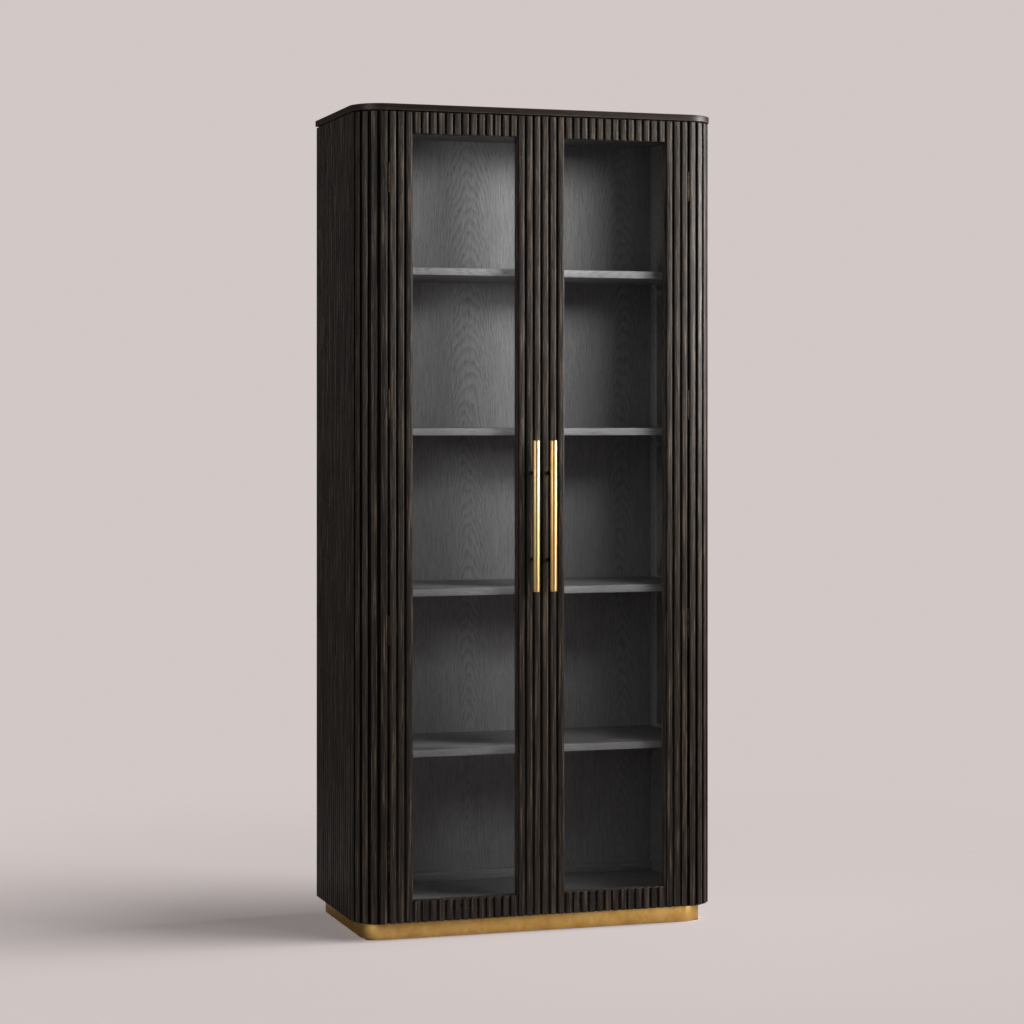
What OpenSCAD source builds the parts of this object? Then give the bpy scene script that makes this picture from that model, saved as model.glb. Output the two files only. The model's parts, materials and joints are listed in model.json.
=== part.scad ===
// Tall display cabinet with two glazed doors, reeded on the front, corners and
// sides, standing on a recessed plinth faced with brass.
// Millimetres. +Z is up and -Y is the front. The origin is on the floor, under
// the middle of the space that the cabinet takes up, its pulls included.

/* [Overall] */
// Width over the top slab
overall_w = 986; // [800:2:1250]
// Depth of the case, from the front edge of the slab to the back
case_d = 450; // [370:2:600]
// Height from the floor to the top of the slab
overall_h = 2134; // [1500:2:2600]
// Radius of the front corners, over the tips of the reeds
corner_r = 82; // [70:1:110]

/* [Reeds] */
// Wanted spacing of the reeds, from which the nearest even spacing is made
reed_spacing = 21.5; // [19:0.5:30]
// Width of the groove between two reeds
reed_groove = 6.3; // [5:0.1:6.6]
// How far a reed stands out of the board that it is glued to
reed_depth = 7; // [6.5:0.5:8]
// Radius of the two rounded shoulders of a reed
reed_shoulder = 2.5; // [1:0.5:4]
// Radius of the crown across the face of a reed
reed_crown = 60; // [20:5:120]
// Number of reeds round each front corner
corner_reeds = 5; // [4:1:6]

/* [Boards] */
// Thickness of the top slab
slab_t = 16; // [14:1:32]
// How far the slab stands over the reeds at the front and the sides
slab_over = 2; // [1:1:12]
// Thickness of the deck and of the sub-top
deck_t = 28; // [22:1:36]
// Thickness of the side panels
side_t = 19; // [16:1:24]
// Thickness of the back panel
back_t = 6; // [4:1:9]
// How far the back panel is let in from the rear edge of the sides
back_set = 12; // [10:1:18]
// Depth of the groove in the sides that holds the back panel
back_groove = 8; // [5:1:9]
// Height of the two rails behind the back panel
back_rail_h = 90; // [70:5:120]
// Height of the strip along the foot of the back panel, inside
foot_strip_h = 25; // [15:1:40]
// Thickness of that strip
foot_strip_t = 12; // [8:1:18]

/* [Plinth] */
// Height of the plinth
plinth_h = 44; // [35:1:90]
// How far the plinth is set back from the tips of the reeds
plinth_in = 26; // [15:1:34]
// Thickness of the plinth's timber rails
plinth_t = 18; // [15:1:25]
// Thickness of the brass facing
brass_t = 1.5; // [1:0.5:3]
// How far the front piece of the facing runs back along each side
brass_wrap = 30; // [5:5:60]
// Thickness of the glides under the plinth
glide_t = 2; // [1:0.5:6]
// Diameter of the glides
glide_d = 32; // [20:1:34]

/* [Shelves] */
// Thickness of a shelf
shelf_t = 19; // [16:1:28]
// Play left between a shelf and the sides, posts and back
shelf_play = 1; // [0.5:0.5:2]
// Spacing of the shelf pin holes
hole_spacing = 32; // [25:1:40]
// Diameter of a shelf pin
shelf_pin_d = 5; // [4:0.5:7]

/* [Doors] */
// Thickness of the stiles and rails
door_t = 22; // [20:1:28]
// Gap left round the doors
door_gap = 3; // [2.6:0.1:4]
// Gap between a closed door and the edges of the case behind it
door_back_gap = 2.5; // [2:0.5:4]
// Number of reeds on each stile
stile_reeds = 3; // [2:1:4]
// Height of the rails
rail_h = 55; // [40:1:90]
// Thickness of the glass
glass_t = 4; // [3:1:6]
// Depth from the front of the frame to the glass
glass_in = 13; // [9:1:14]
// Width of the rebate that holds the glass
rebate_w = 10; // [7:1:14]
// Play left round the glass
glass_play = 1; // [0.5:0.5:2]

/* [Hinges] */
// Number of hinges on each door
hinge_count = 4; // [3:1:5]
// Length of a hinge
hinge_l = 76; // [60:2:100]
// Distance from the end of the door to the middle of the nearest hinge
hinge_end = 170; // [100:5:250]
// Diameter of the hinge pins
hinge_pin_d = 2.6; // [2:0.1:2.8]
// Thickness of a hinge leaf
leaf_t = 1.2; // [0.8:0.1:1.2]
// Width of a hinge leaf, behind the knuckles
leaf_w = 20; // [16:1:22]
// Diameter of the hinge screws
hinge_screw_d = 3; // [2:0.5:3.5]

/* [Pulls] */
// Length of a pull
pull_l = 390; // [200:5:600]
// Diameter of a pull
pull_d = 18; // [12:1:24]
// Distance from the tips of the reeds to the middle of the pull
pull_out = 27; // [24:1:40]
// Distance between the two posts of a pull
pull_centres = 224; // [128:32:352]
// Diameter of the posts
pull_post_d = 10; // [8:1:12]
// Distance from the meeting edge of the door to the middle of the pull
pull_edge = 22; // [18:1:40]

/* [Hidden] */
$fn = 96;

oak = [0.15, 0.13, 0.11];
oak_inside = [0.24, 0.23, 0.22];
softwood = [0.62, 0.5, 0.36];
brass = [0.72, 0.55, 0.3];
bronze = [0.16, 0.13, 0.1];
steel = [0.6, 0.6, 0.62];
pane = [0.6, 0.66, 0.68, 0.35];

// Front to back, from the bar of the pulls to the wall
pull_proud = pull_out + pull_d / 2 - slab_over;
back_y = (case_d + pull_proud) / 2;
slab_front_y = back_y - case_d;
tip_y = slab_front_y + slab_over;
face_y = tip_y + reed_depth;
door_back_y = face_y + door_t;
case_front_y = door_back_y + door_back_gap;
corner_y = tip_y + corner_r;
back_face_y = back_y - back_set - back_t;
foot_strip_y = back_face_y - foot_strip_t;

// Side to side, measured out from the middle
body_half = overall_w / 2 - slab_over;
corner_x = body_half - corner_r;
side_out_x = body_half - reed_depth;
side_in_x = side_out_x - side_t;
post_x = corner_x + door_gap / 2;

// Bottom to top
case_top_z = overall_h - slab_t;
deck_top_z = plinth_h + deck_t;
sub_top_z = case_top_z - deck_t;
door_lift = 1.5;
door_low_z = plinth_h + door_lift;
door_high_z = case_top_z - door_gap;
door_mid_z = (door_low_z + door_high_z) / 2;
pane_low_z = door_low_z + rail_h;
pane_high_z = door_high_z - rail_h;

// Reeds: the front is shared out evenly between the two doors, and each side
// from its corner to the back
door_reeds = round(corner_x / reed_spacing);
front_pitch = corner_x / door_reeds;
side_run = back_y - corner_y;
side_reeds = round(side_run / reed_spacing);
side_pitch = side_run / side_reeds;
corner_base_r = corner_r - reed_depth;
corner_step = 90 / corner_reeds;
corner_reed_w = 2 * PI * corner_base_r / 4 / corner_reeds - reed_groove;

// Doors, given for the left one
stile_x = corner_x - stile_reeds * front_pitch;
meeting_x = stile_reeds * front_pitch;
door_edge_x = corner_x - door_gap / 2;
glass_y = face_y + glass_in;
bead_y = glass_y + glass_t;
bead_w = rebate_w - 0.5;
bead_play = 0.2;

// Shelves stand on pins in rows of holes, a whole number of holes apart
shelf_count = 4;
shelf_step = hole_spacing * round((sub_top_z - deck_top_z) / (shelf_count + 1) / hole_spacing);
shelf_front_y = corner_y + shelf_play;
seat_h = 8;
seat_w = 12;
seat_l = 12;
pin_hole_depth = 10;
pin_inset = 50;
pin_rows = [corner_y + pin_inset, back_face_y - pin_inset];
spare_holes = 1;
function shelf_under_z(i) = deck_top_z + i * shelf_step - hole_spacing;
function pin_z(i) = shelf_under_z(i) - seat_h / 2;

// Hinges: the pins stand in the groove between the corner post and the door
knuckle_side = 0.45;
knuckle_d = reed_groove - 2 * knuckle_side;
knuckle_set = 0.3;
hinge_y = tip_y + knuckle_d / 2 + knuckle_set;
hinge_fit = 0.05;
knuckle_play = 0.4;
knuckle_l = (hinge_l - 2 * knuckle_play) / 3;
leaf_y = knuckle_d / 2 + knuckle_play;
hinge_screw_l = 16;
hinge_screw_head = [5.4, 0.7];
hinge_screw_play = 0.1;
hinge_screw_rows = [-hinge_l / 3, 0, hinge_l / 3];
hinge_span = door_high_z - door_low_z - 2 * hinge_end;
function hinge_z(i) = door_low_z + hinge_end + i * hinge_span / (hinge_count - 1);

// Pulls
pull_x = door_gap / 2 + pull_edge;
pull_y = tip_y - pull_out;
pull_rows = [door_mid_z - pull_centres / 2, door_mid_z + pull_centres / 2];
post_depth = 5;
post_play = 0.05;
pocket_play = 0.3;
pull_screw_d = 4;
pull_screw_head = [8, 2.5];
pull_screw_grip = 12;

// Catches and bumpers, at the top and the foot of the meeting stiles
catch_size = [36, 12, 14];
catch_x = door_gap / 2 + 14 + catch_size[0] / 2;
strike_d = 14;
strike_t = 1.2;
catch_front_y = door_back_y + strike_t + 0.4;
catch_rows = [deck_top_z + catch_size[2] / 2, sub_top_z - catch_size[2] / 2];
bumper_d = 8;
bumper_t = door_back_gap - 0.5;
bumper_x = 12;

// Back rails, their screws and the holes for wall screws
back_rail_z = case_top_z - back_rail_h;
back_screw_d = 4;
back_screw_head = [8, 3];
back_screw_l = 45;
back_screw_count = 5;
back_screw_edge = 60;
wall_hole_d = 6;
stud_spacing = 406.4;
wall_hole_margin = 25;
wall_hole_span = stud_spacing * floor(2 * (side_in_x - wall_hole_margin) / stud_spacing);
wall_hole_z = sub_top_z - 30;
function back_screw_x(i) =
    (2 * i / (back_screw_count - 1) - 1) * (side_in_x - back_screw_edge);

// Plinth
plinth_r = corner_r - plinth_in;
timber_r = plinth_r - brass_t;
plinth_y = corner_y - timber_r;
plinth_half = corner_x + timber_r;
plinth_back_y = back_y - 3;
bearer_x = 150;
brass_low_z = glide_t;
brass_high_z = plinth_h - 0.5;
brass_seam_y = corner_y + brass_wrap;
glide_inset = 22;

// ---- Shapes used by more than one piece ----

// A board from its lowest corner to its highest
module board(low, high) {
    translate(low) cube(high - low);
}

// A rod along X, Y or Z, starting at a point
module rod_x(at, d, l) {
    translate(at) rotate([0, 90, 0]) cylinder(d = d, h = l);
}

module rod_y(at, d, l) {
    translate(at) rotate([-90, 0, 0]) cylinder(d = d, h = l);
}

module rod_z(at, d, l) {
    translate(at) cylinder(d = d, h = l);
}

// The right-hand piece is the left-hand one, mirrored
module on_right() {
    mirror([1, 0, 0]) children();
}

module both_sides() {
    children();
    on_right() children();
}

// A quarter disc at the left front corner's centre, facing left and front
module corner_quarter(r) {
    translate([-corner_x, corner_y]) intersection() {
        circle(r);
        translate([-r, -r]) square(r);
    }
}

// A reed's section: its flat back lies on Y = 0, and its face points to -Y, with
// two rounded shoulders and a slight crown between them
module reed_section(w) {
    shoulder_y = reed_shoulder - reed_depth;
    intersection() {
        union() {
            translate([-w / 2, shoulder_y]) square([w, -shoulder_y]);
            translate([reed_shoulder - w / 2, -reed_depth])
                square([w - 2 * reed_shoulder, reed_depth]);
            for (side = [-1, 1]) {
                translate([side * (w / 2 - reed_shoulder), shoulder_y]) circle(reed_shoulder);
            }
        }
        translate([0, reed_crown - reed_depth]) circle(reed_crown);
    }
}

module reed(w, low_z, high_z) {
    translate([0, 0, low_z]) linear_extrude(high_z - low_z) reed_section(w);
}

// ---- Case ----

module top_slab() {
    half = overall_w / 2;
    r = corner_r + slab_over;
    color(oak) translate([0, 0, case_top_z]) linear_extrude(slab_t) {
        translate([-half, corner_y]) square([overall_w, back_y - corner_y]);
        translate([-corner_x, slab_front_y]) square([2 * corner_x, r]);
        for (side = [-1, 1]) {
            translate([side * corner_x, corner_y]) circle(r);
        }
    }
}

// The deck and the sub-top share one outline, let in between the corner posts
module case_board(low_z) {
    high_z = low_z + deck_t;
    difference() {
        union() {
            board([-side_in_x, corner_y, low_z], [side_in_x, back_face_y, high_z]);
            board([-post_x, case_front_y, low_z], [post_x, corner_y, high_z]);
        }
        back_screw_holes(low_z + deck_t / 2);
    }
}

module sub_top() {
    color(oak_inside) case_board(sub_top_z);
}

module deck() {
    color(oak_inside) case_board(plinth_h);
}

module left_side_panel() {
    color(oak_inside) difference() {
        board([-side_out_x, corner_y, plinth_h], [-side_in_x, back_y, case_top_z]);
        board([-side_in_x - back_groove, back_face_y, plinth_h - 1],
              [-side_in_x + 1, back_face_y + back_t, case_top_z + 1]);
        for (shelf = [1:shelf_count], row = pin_rows, hole = [-spare_holes:spare_holes]) {
            rod_x([-side_in_x - pin_hole_depth, row, pin_z(shelf) + hole * hole_spacing],
                  shelf_pin_d + 0.1, pin_hole_depth + 1);
        }
    }
}

module right_side_panel() {
    on_right() left_side_panel();
}

module left_corner_post() {
    color(oak) difference() {
        translate([0, 0, plinth_h]) linear_extrude(case_top_z - plinth_h) intersection() {
            corner_quarter(corner_base_r);
            translate([-body_half, tip_y]) square([body_half - post_x, corner_r]);
        }
        for (i = [0:hinge_count - 1], row = hinge_screw_rows) {
            rod_x([-post_x - hinge_screw_l, hinge_y + leaf_y + leaf_w / 2, hinge_z(i) + row],
                  hinge_screw_d + hinge_screw_play, hinge_screw_l + 1);
        }
    }
}

module right_corner_post() {
    on_right() left_corner_post();
}

module left_case_reeds() {
    color(oak) {
        for (i = [0:side_reeds - 1]) {
            translate([-side_out_x, corner_y + (i + 0.5) * side_pitch, 0]) rotate(-90)
                reed(side_pitch - reed_groove, door_low_z, door_high_z);
        }
        for (i = [0:corner_reeds - 1]) {
            corner_flat = sqrt(pow(corner_base_r, 2) - pow(corner_reed_w / 2, 2));
            translate([-corner_x, corner_y, 0]) rotate(-(i + 0.5) * corner_step)
                difference() {
                    translate([0, -corner_flat, 0])
                        reed(corner_reed_w, door_low_z, door_high_z);
                    rod_z([0, 0, door_low_z - 1], 2 * corner_base_r,
                          door_high_z - door_low_z + 2);
                }
        }
    }
}

module right_case_reeds() {
    on_right() left_case_reeds();
}

// ---- Back ----

module back_screw_holes(z) {
    for (i = [0:back_screw_count - 1]) {
        rod_y([back_screw_x(i), back_y - back_screw_l, z],
              back_screw_d + 0.1, back_screw_l + 1);
    }
}

module back_screw_heads(z) {
    for (i = [0:back_screw_count - 1]) {
        rod_y([back_screw_x(i), back_y - back_screw_head[1], z],
              back_screw_head[0] + 0.2, back_screw_head[1] + 1);
    }
}

module wall_holes() {
    for (side = [-1, 1]) {
        rod_y([side * wall_hole_span / 2, back_face_y - 1, wall_hole_z],
              wall_hole_d, back_t + back_set + 2);
    }
}

module back_panel() {
    half = side_in_x + back_groove - 0.5;
    color(oak_inside) difference() {
        board([-half, back_face_y, plinth_h], [half, back_face_y + back_t, case_top_z]);
        back_screw_holes(plinth_h + deck_t / 2);
        back_screw_holes(sub_top_z + deck_t / 2);
        wall_holes();
    }
}

module hanging_rail() {
    color(softwood) difference() {
        board([-side_in_x, back_y - back_set, back_rail_z], [side_in_x, back_y, case_top_z]);
        back_screw_holes(sub_top_z + deck_t / 2);
        back_screw_heads(sub_top_z + deck_t / 2);
        wall_holes();
    }
}

module lower_back_rail() {
    color(softwood) difference() {
        board([-side_in_x, back_y - back_set, plinth_h],
              [side_in_x, back_y, plinth_h + back_rail_h]);
        back_screw_holes(plinth_h + deck_t / 2);
        back_screw_heads(plinth_h + deck_t / 2);
    }
}

module foot_strip() {
    color(oak_inside)
        board([-side_in_x, foot_strip_y, deck_top_z],
              [side_in_x, back_face_y, deck_top_z + foot_strip_h]);
}

module back_screws() {
    color(steel) for (z = [plinth_h + deck_t / 2, sub_top_z + deck_t / 2]) {
        for (i = [0:back_screw_count - 1]) {
            rod_y([back_screw_x(i), back_y - back_screw_l + 1, z],
                  back_screw_d, back_screw_l - 2);
            rod_y([back_screw_x(i), back_y - back_screw_head[1], z],
                  back_screw_head[0], back_screw_head[1] - 0.5);
        }
    }
}

// ---- Shelves ----

module shelf(i) {
    half = side_in_x - shelf_play;
    z = shelf_under_z(i);
    color(oak_inside)
        board([-half, shelf_front_y, z], [half, back_face_y - shelf_play, z + shelf_t]);
}

module shelf_1() {
    shelf(1);
}

module shelf_2() {
    shelf(2);
}

module shelf_3() {
    shelf(3);
}

module shelf_4() {
    shelf(4);
}

module shelf_pins() {
    color(steel) both_sides() {
        for (i = [1:shelf_count], row = pin_rows) {
            rod_x([-side_in_x - pin_hole_depth + 0.5, row, pin_z(i)],
                  shelf_pin_d, pin_hole_depth);
            board([-side_in_x, row - seat_w / 2, shelf_under_z(i) - seat_h],
                  [-side_in_x + seat_l, row + seat_w / 2, shelf_under_z(i)]);
        }
    }
}

// ---- Plinth ----

module plinth_front_rail() {
    color(softwood)
        board([-corner_x, plinth_y, glide_t], [corner_x, plinth_y + plinth_t, plinth_h]);
}

module plinth_corner_blocks() {
    color(softwood) both_sides() {
        translate([0, 0, glide_t]) linear_extrude(plinth_h - glide_t)
            corner_quarter(timber_r);
    }
}

module plinth_side_rails() {
    color(softwood) both_sides() {
        board([-plinth_half, corner_y, glide_t],
              [-plinth_half + plinth_t, plinth_back_y, plinth_h]);
    }
}

module plinth_back_rail() {
    half = plinth_half - plinth_t;
    color(softwood)
        board([-half, plinth_back_y - plinth_t, glide_t], [half, plinth_back_y, plinth_h]);
}

module plinth_bearers() {
    color(softwood) both_sides() {
        board([-bearer_x - plinth_t / 2, plinth_y + plinth_t, glide_t],
              [-bearer_x + plinth_t / 2, plinth_back_y - plinth_t, plinth_h]);
    }
}

module brass_front() {
    color(brass) {
        board([-corner_x, plinth_y - brass_t, brass_low_z],
              [corner_x, plinth_y, brass_high_z]);
        both_sides() {
            translate([0, 0, brass_low_z]) linear_extrude(brass_high_z - brass_low_z)
                difference() {
                    corner_quarter(plinth_r);
                    translate([-corner_x, corner_y]) circle(timber_r);
                }
            board([-plinth_half - brass_t, corner_y, brass_low_z],
                  [-plinth_half, brass_seam_y, brass_high_z]);
        }
    }
}

module brass_sides() {
    color(brass) both_sides() {
        board([-plinth_half - brass_t, brass_seam_y, brass_low_z],
              [-plinth_half, plinth_back_y, brass_high_z]);
    }
}

module floor_glides() {
    x = plinth_half - glide_inset;
    color(bronze) both_sides() {
        rod_z([-x, corner_y - timber_r + glide_inset + 6, 0], glide_d, glide_t);
        rod_z([-bearer_x, plinth_y + plinth_t + glide_inset, 0], glide_d, glide_t);
        rod_z([-bearer_x, plinth_back_y - glide_inset, 0], glide_d, glide_t);
        rod_z([-x, plinth_back_y - glide_inset, 0], glide_d, glide_t);
    }
}

// ---- Hinges ----

// A knuckle on the pin's axis, with the tongue that joins it to its leaf
module knuckle(low_z, leaf_x) {
    rod_z([0, 0, low_z], knuckle_d, knuckle_l);
    translate([leaf_x, 0, low_z]) cube([leaf_t, leaf_y + 1, knuckle_l]);
}

// A leaf with its knuckles, centred on its own height
module hinge_leaf(leaf_x, knuckle_rows, head_x) {
    difference() {
        union() {
            translate([leaf_x, leaf_y, -hinge_l / 2]) cube([leaf_t, leaf_w, hinge_l]);
            for (row = knuckle_rows) {
                knuckle(row - knuckle_l / 2, leaf_x);
            }
        }
        rod_z([0, 0, -hinge_l], hinge_pin_d + 2 * hinge_fit, 2 * hinge_l);
        for (row = hinge_screw_rows) {
            rod_x([leaf_x - 1, leaf_y + leaf_w / 2, row],
                  hinge_screw_d + hinge_screw_play, leaf_t + 2);
            rod_x([head_x, leaf_y + leaf_w / 2, row],
                  hinge_screw_head[0] + 2 * hinge_screw_play, hinge_screw_head[1] + 0.05);
        }
    }
}

module at_left_hinges() {
    for (i = [0:hinge_count - 1]) {
        translate([-corner_x, hinge_y, hinge_z(i)]) children();
    }
}

module case_hinge_leaves() {
    step = knuckle_l + knuckle_play;
    color(bronze) both_sides() {
        at_left_hinges()
            hinge_leaf(-door_gap / 2, [-step, step],
                       -door_gap / 2 + leaf_t - hinge_screw_head[1]);
    }
}

module left_hinge_leaves() {
    color(bronze) at_left_hinges()
        hinge_leaf(door_gap / 2 - leaf_t, [0], door_gap / 2 - leaf_t - 0.05);
}

module right_hinge_leaves() {
    on_right() left_hinge_leaves();
}

module hinge_pins() {
    color(steel) both_sides() {
        at_left_hinges() rod_z([0, 0, -hinge_l / 2], hinge_pin_d, hinge_l);
    }
}

// Screws through a leaf, pointing to -X, with the leaf's outer face at X = 0
module hinge_leaf_screws() {
    for (row = hinge_screw_rows) {
        rod_x([-hinge_screw_l, leaf_y + leaf_w / 2, row],
              hinge_screw_d, hinge_screw_l - 0.1);
        rod_x([-hinge_screw_head[1], leaf_y + leaf_w / 2, row],
              hinge_screw_head[0], hinge_screw_head[1]);
    }
}

module case_hinge_screws() {
    color(bronze) both_sides() {
        at_left_hinges() translate([-door_gap / 2 + leaf_t, 0, 0]) hinge_leaf_screws();
    }
}

module left_hinge_screws() {
    color(bronze) at_left_hinges()
        translate([door_gap / 2 - leaf_t, 0, 0]) mirror([1, 0, 0]) hinge_leaf_screws();
}

module right_hinge_screws() {
    on_right() left_hinge_screws();
}

// ---- Catches and bumpers ----

module magnetic_catches() {
    color(bronze) both_sides() {
        for (z = catch_rows) {
            translate([-catch_x - catch_size[0] / 2, catch_front_y, z - catch_size[2] / 2])
                cube(catch_size);
        }
    }
}

module left_strike_plates() {
    color(steel) for (z = catch_rows) {
        rod_y([-catch_x, door_back_y, z], strike_d, strike_t);
    }
}

module right_strike_plates() {
    on_right() left_strike_plates();
}

module door_bumpers() {
    color(bronze) both_sides() {
        for (z = [plinth_h + deck_t / 2, sub_top_z + deck_t / 2]) {
            rod_y([-bumper_x, case_front_y - bumper_t, z], bumper_d, bumper_t);
        }
    }
}

// ---- Door frames ----

// The opening for the glass, rebate included, as the frame's pieces are cut by it
module glass_rebate() {
    board([-stile_x - rebate_w, glass_y, pane_low_z - rebate_w],
          [-meeting_x + rebate_w, door_back_y + 1, pane_high_z + rebate_w]);
}

module left_outer_stile() {
    color(oak) difference() {
        board([-door_edge_x, face_y, door_low_z], [-stile_x, door_back_y, door_high_z]);
        glass_rebate();
        for (i = [0:hinge_count - 1], row = hinge_screw_rows) {
            rod_x([-door_edge_x - 1, hinge_y + leaf_y + leaf_w / 2, hinge_z(i) + row],
                  hinge_screw_d + hinge_screw_play, hinge_screw_l + 1);
        }
    }
}

module right_outer_stile() {
    on_right() left_outer_stile();
}

module left_meeting_stile() {
    color(oak) difference() {
        board([-meeting_x, face_y, door_low_z], [-door_gap / 2, door_back_y, door_high_z]);
        glass_rebate();
        for (z = pull_rows) {
            rod_y([-pull_x, face_y - 1, z], pull_screw_d + 0.5, door_t + 2);
        }
    }
}

module right_meeting_stile() {
    on_right() left_meeting_stile();
}

module left_top_rail() {
    color(oak) difference() {
        board([-stile_x, face_y, pane_high_z], [-meeting_x, door_back_y, door_high_z]);
        glass_rebate();
    }
}

module right_top_rail() {
    on_right() left_top_rail();
}

module left_bottom_rail() {
    color(oak) difference() {
        board([-stile_x, face_y, door_low_z], [-meeting_x, door_back_y, pane_low_z]);
        glass_rebate();
    }
}

module right_bottom_rail() {
    on_right() left_bottom_rail();
}

// Long reeds on the stiles and short ones on the rails, cut round the pull's posts
module left_door_reeds() {
    w = front_pitch - reed_groove;
    color(oak) difference() {
        for (i = [0:door_reeds - 1]) {
            translate([-corner_x + (i + 0.5) * front_pitch, face_y, 0]) {
                if (i < stile_reeds || i >= door_reeds - stile_reeds) {
                    reed(w, door_low_z, door_high_z);
                } else {
                    reed(w, door_low_z, pane_low_z);
                    reed(w, pane_high_z, door_high_z);
                }
            }
        }
        for (z = pull_rows) {
            rod_y([-pull_x, tip_y - 1, z], pull_post_d + 2 * pocket_play, reed_depth + 1);
        }
    }
}

module right_door_reeds() {
    on_right() left_door_reeds();
}

// ---- Glass ----

module left_glass() {
    edge = rebate_w - glass_play;
    color(pane)
        board([-stile_x - edge, glass_y, pane_low_z - edge],
              [-meeting_x + edge, bead_y, pane_high_z + edge]);
}

module right_glass() {
    on_right() left_glass();
}

module left_glazing_beads() {
    color(oak) {
        board([-stile_x - bead_w, bead_y, pane_low_z - bead_w],
              [-stile_x, door_back_y, pane_high_z + bead_w]);
        board([-meeting_x, bead_y, pane_low_z - bead_w],
              [-meeting_x + bead_w, door_back_y, pane_high_z + bead_w]);
        board([-stile_x + bead_play, bead_y, pane_low_z - bead_w],
              [-meeting_x - bead_play, door_back_y, pane_low_z]);
        board([-stile_x + bead_play, bead_y, pane_high_z],
              [-meeting_x - bead_play, door_back_y, pane_high_z + bead_w]);
    }
}

module right_glazing_beads() {
    on_right() left_glazing_beads();
}

// ---- Pulls ----

module left_pull_bar() {
    color(brass) difference() {
        rod_z([-pull_x, pull_y, door_mid_z - pull_l / 2], pull_d, pull_l);
        for (z = pull_rows) {
            rod_y([-pull_x, pull_y + pull_d / 2 - post_depth, z],
                  pull_post_d + 2 * post_play, pull_d);
        }
    }
}

module right_pull_bar() {
    on_right() left_pull_bar();
}

module left_pull_posts() {
    start_y = pull_y + pull_d / 2 - post_depth;
    color(bronze) difference() {
        for (z = pull_rows) {
            rod_y([-pull_x, start_y, z], pull_post_d, face_y - start_y);
        }
        for (z = pull_rows) {
            rod_y([-pull_x, face_y - pull_screw_grip - 1, z],
                  pull_screw_d + 0.1, pull_screw_grip + 2);
        }
    }
}

module right_pull_posts() {
    on_right() left_pull_posts();
}

module left_pull_screws() {
    color(steel) for (z = pull_rows) {
        rod_y([-pull_x, face_y - pull_screw_grip, z],
              pull_screw_d, pull_screw_grip + door_t);
        rod_y([-pull_x, door_back_y, z], pull_screw_head[0], pull_screw_head[1]);
    }
}

module right_pull_screws() {
    on_right() left_pull_screws();
}

top_slab();
sub_top();
deck();
left_side_panel();
right_side_panel();
left_corner_post();
right_corner_post();
left_case_reeds();
right_case_reeds();
back_panel();
hanging_rail();
lower_back_rail();
foot_strip();
back_screws();
shelf_1();
shelf_2();
shelf_3();
shelf_4();
shelf_pins();
plinth_front_rail();
plinth_corner_blocks();
plinth_side_rails();
plinth_back_rail();
plinth_bearers();
brass_front();
brass_sides();
floor_glides();
case_hinge_leaves();
hinge_pins();
case_hinge_screws();
magnetic_catches();
door_bumpers();
left_outer_stile();
left_meeting_stile();
left_top_rail();
left_bottom_rail();
left_door_reeds();
left_glass();
left_glazing_beads();
left_hinge_leaves();
left_hinge_screws();
left_pull_bar();
left_pull_posts();
left_pull_screws();
left_strike_plates();
right_outer_stile();
right_meeting_stile();
right_top_rail();
right_bottom_rail();
right_door_reeds();
right_glass();
right_glazing_beads();
right_hinge_leaves();
right_hinge_screws();
right_pull_bar();
right_pull_posts();
right_pull_screws();
right_strike_plates();
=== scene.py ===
import json
import math

import bmesh
import bpy
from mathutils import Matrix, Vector

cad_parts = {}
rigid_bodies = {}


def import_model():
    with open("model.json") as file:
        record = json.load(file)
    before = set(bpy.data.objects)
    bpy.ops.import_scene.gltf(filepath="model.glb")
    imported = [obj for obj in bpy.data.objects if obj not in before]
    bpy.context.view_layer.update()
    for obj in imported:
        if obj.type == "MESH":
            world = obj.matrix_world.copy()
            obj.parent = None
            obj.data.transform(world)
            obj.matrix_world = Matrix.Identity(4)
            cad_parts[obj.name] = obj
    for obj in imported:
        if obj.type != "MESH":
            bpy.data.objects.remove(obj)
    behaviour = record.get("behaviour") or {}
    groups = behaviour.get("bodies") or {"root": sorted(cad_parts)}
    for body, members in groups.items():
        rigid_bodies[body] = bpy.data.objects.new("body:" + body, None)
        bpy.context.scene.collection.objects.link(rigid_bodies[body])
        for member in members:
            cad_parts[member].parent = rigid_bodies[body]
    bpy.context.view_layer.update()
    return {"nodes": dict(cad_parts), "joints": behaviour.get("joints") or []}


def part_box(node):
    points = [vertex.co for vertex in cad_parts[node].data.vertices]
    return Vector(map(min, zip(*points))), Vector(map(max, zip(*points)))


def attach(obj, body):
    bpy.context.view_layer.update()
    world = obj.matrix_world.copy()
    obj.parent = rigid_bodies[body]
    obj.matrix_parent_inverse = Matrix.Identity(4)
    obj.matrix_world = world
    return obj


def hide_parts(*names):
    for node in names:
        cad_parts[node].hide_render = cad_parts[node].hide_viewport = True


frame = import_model()

# ---- Plinth frame ----
# Softwood rails, corner blocks and bearers, butted, glued and screwed up into the
# deck from below. Sawn and planed, left bare, because nobody sees them.

PINE_EASE = 0.0008
PINE_PALE = (0.56, 0.40, 0.24, 1)
PINE_DARK = (0.36, 0.22, 0.11, 1)
MM = 0.001
SOCKET_KINDS = {int: "Int", float: "Float", tuple: "Vector"}


def put(tree, kind, feeds=(), **settings):
    """A node of that kind in the tree, with its inputs fed by values or by sockets."""
    made = tree.nodes.new(kind)
    for name, value in settings.items():
        setattr(made, name, value)
    for name, value in dict(feeds).items():
        if isinstance(value, bpy.types.NodeSocket):
            tree.links.new(value, made.inputs[name])
        else:
            made.inputs[name].default_value = value
    return made


def sum_of(tree, operation, *feeds):
    """The result of one sum on values or sockets."""
    return put(tree, "ShaderNodeMath", enumerate(feeds), operation=operation).outputs[0]


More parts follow.
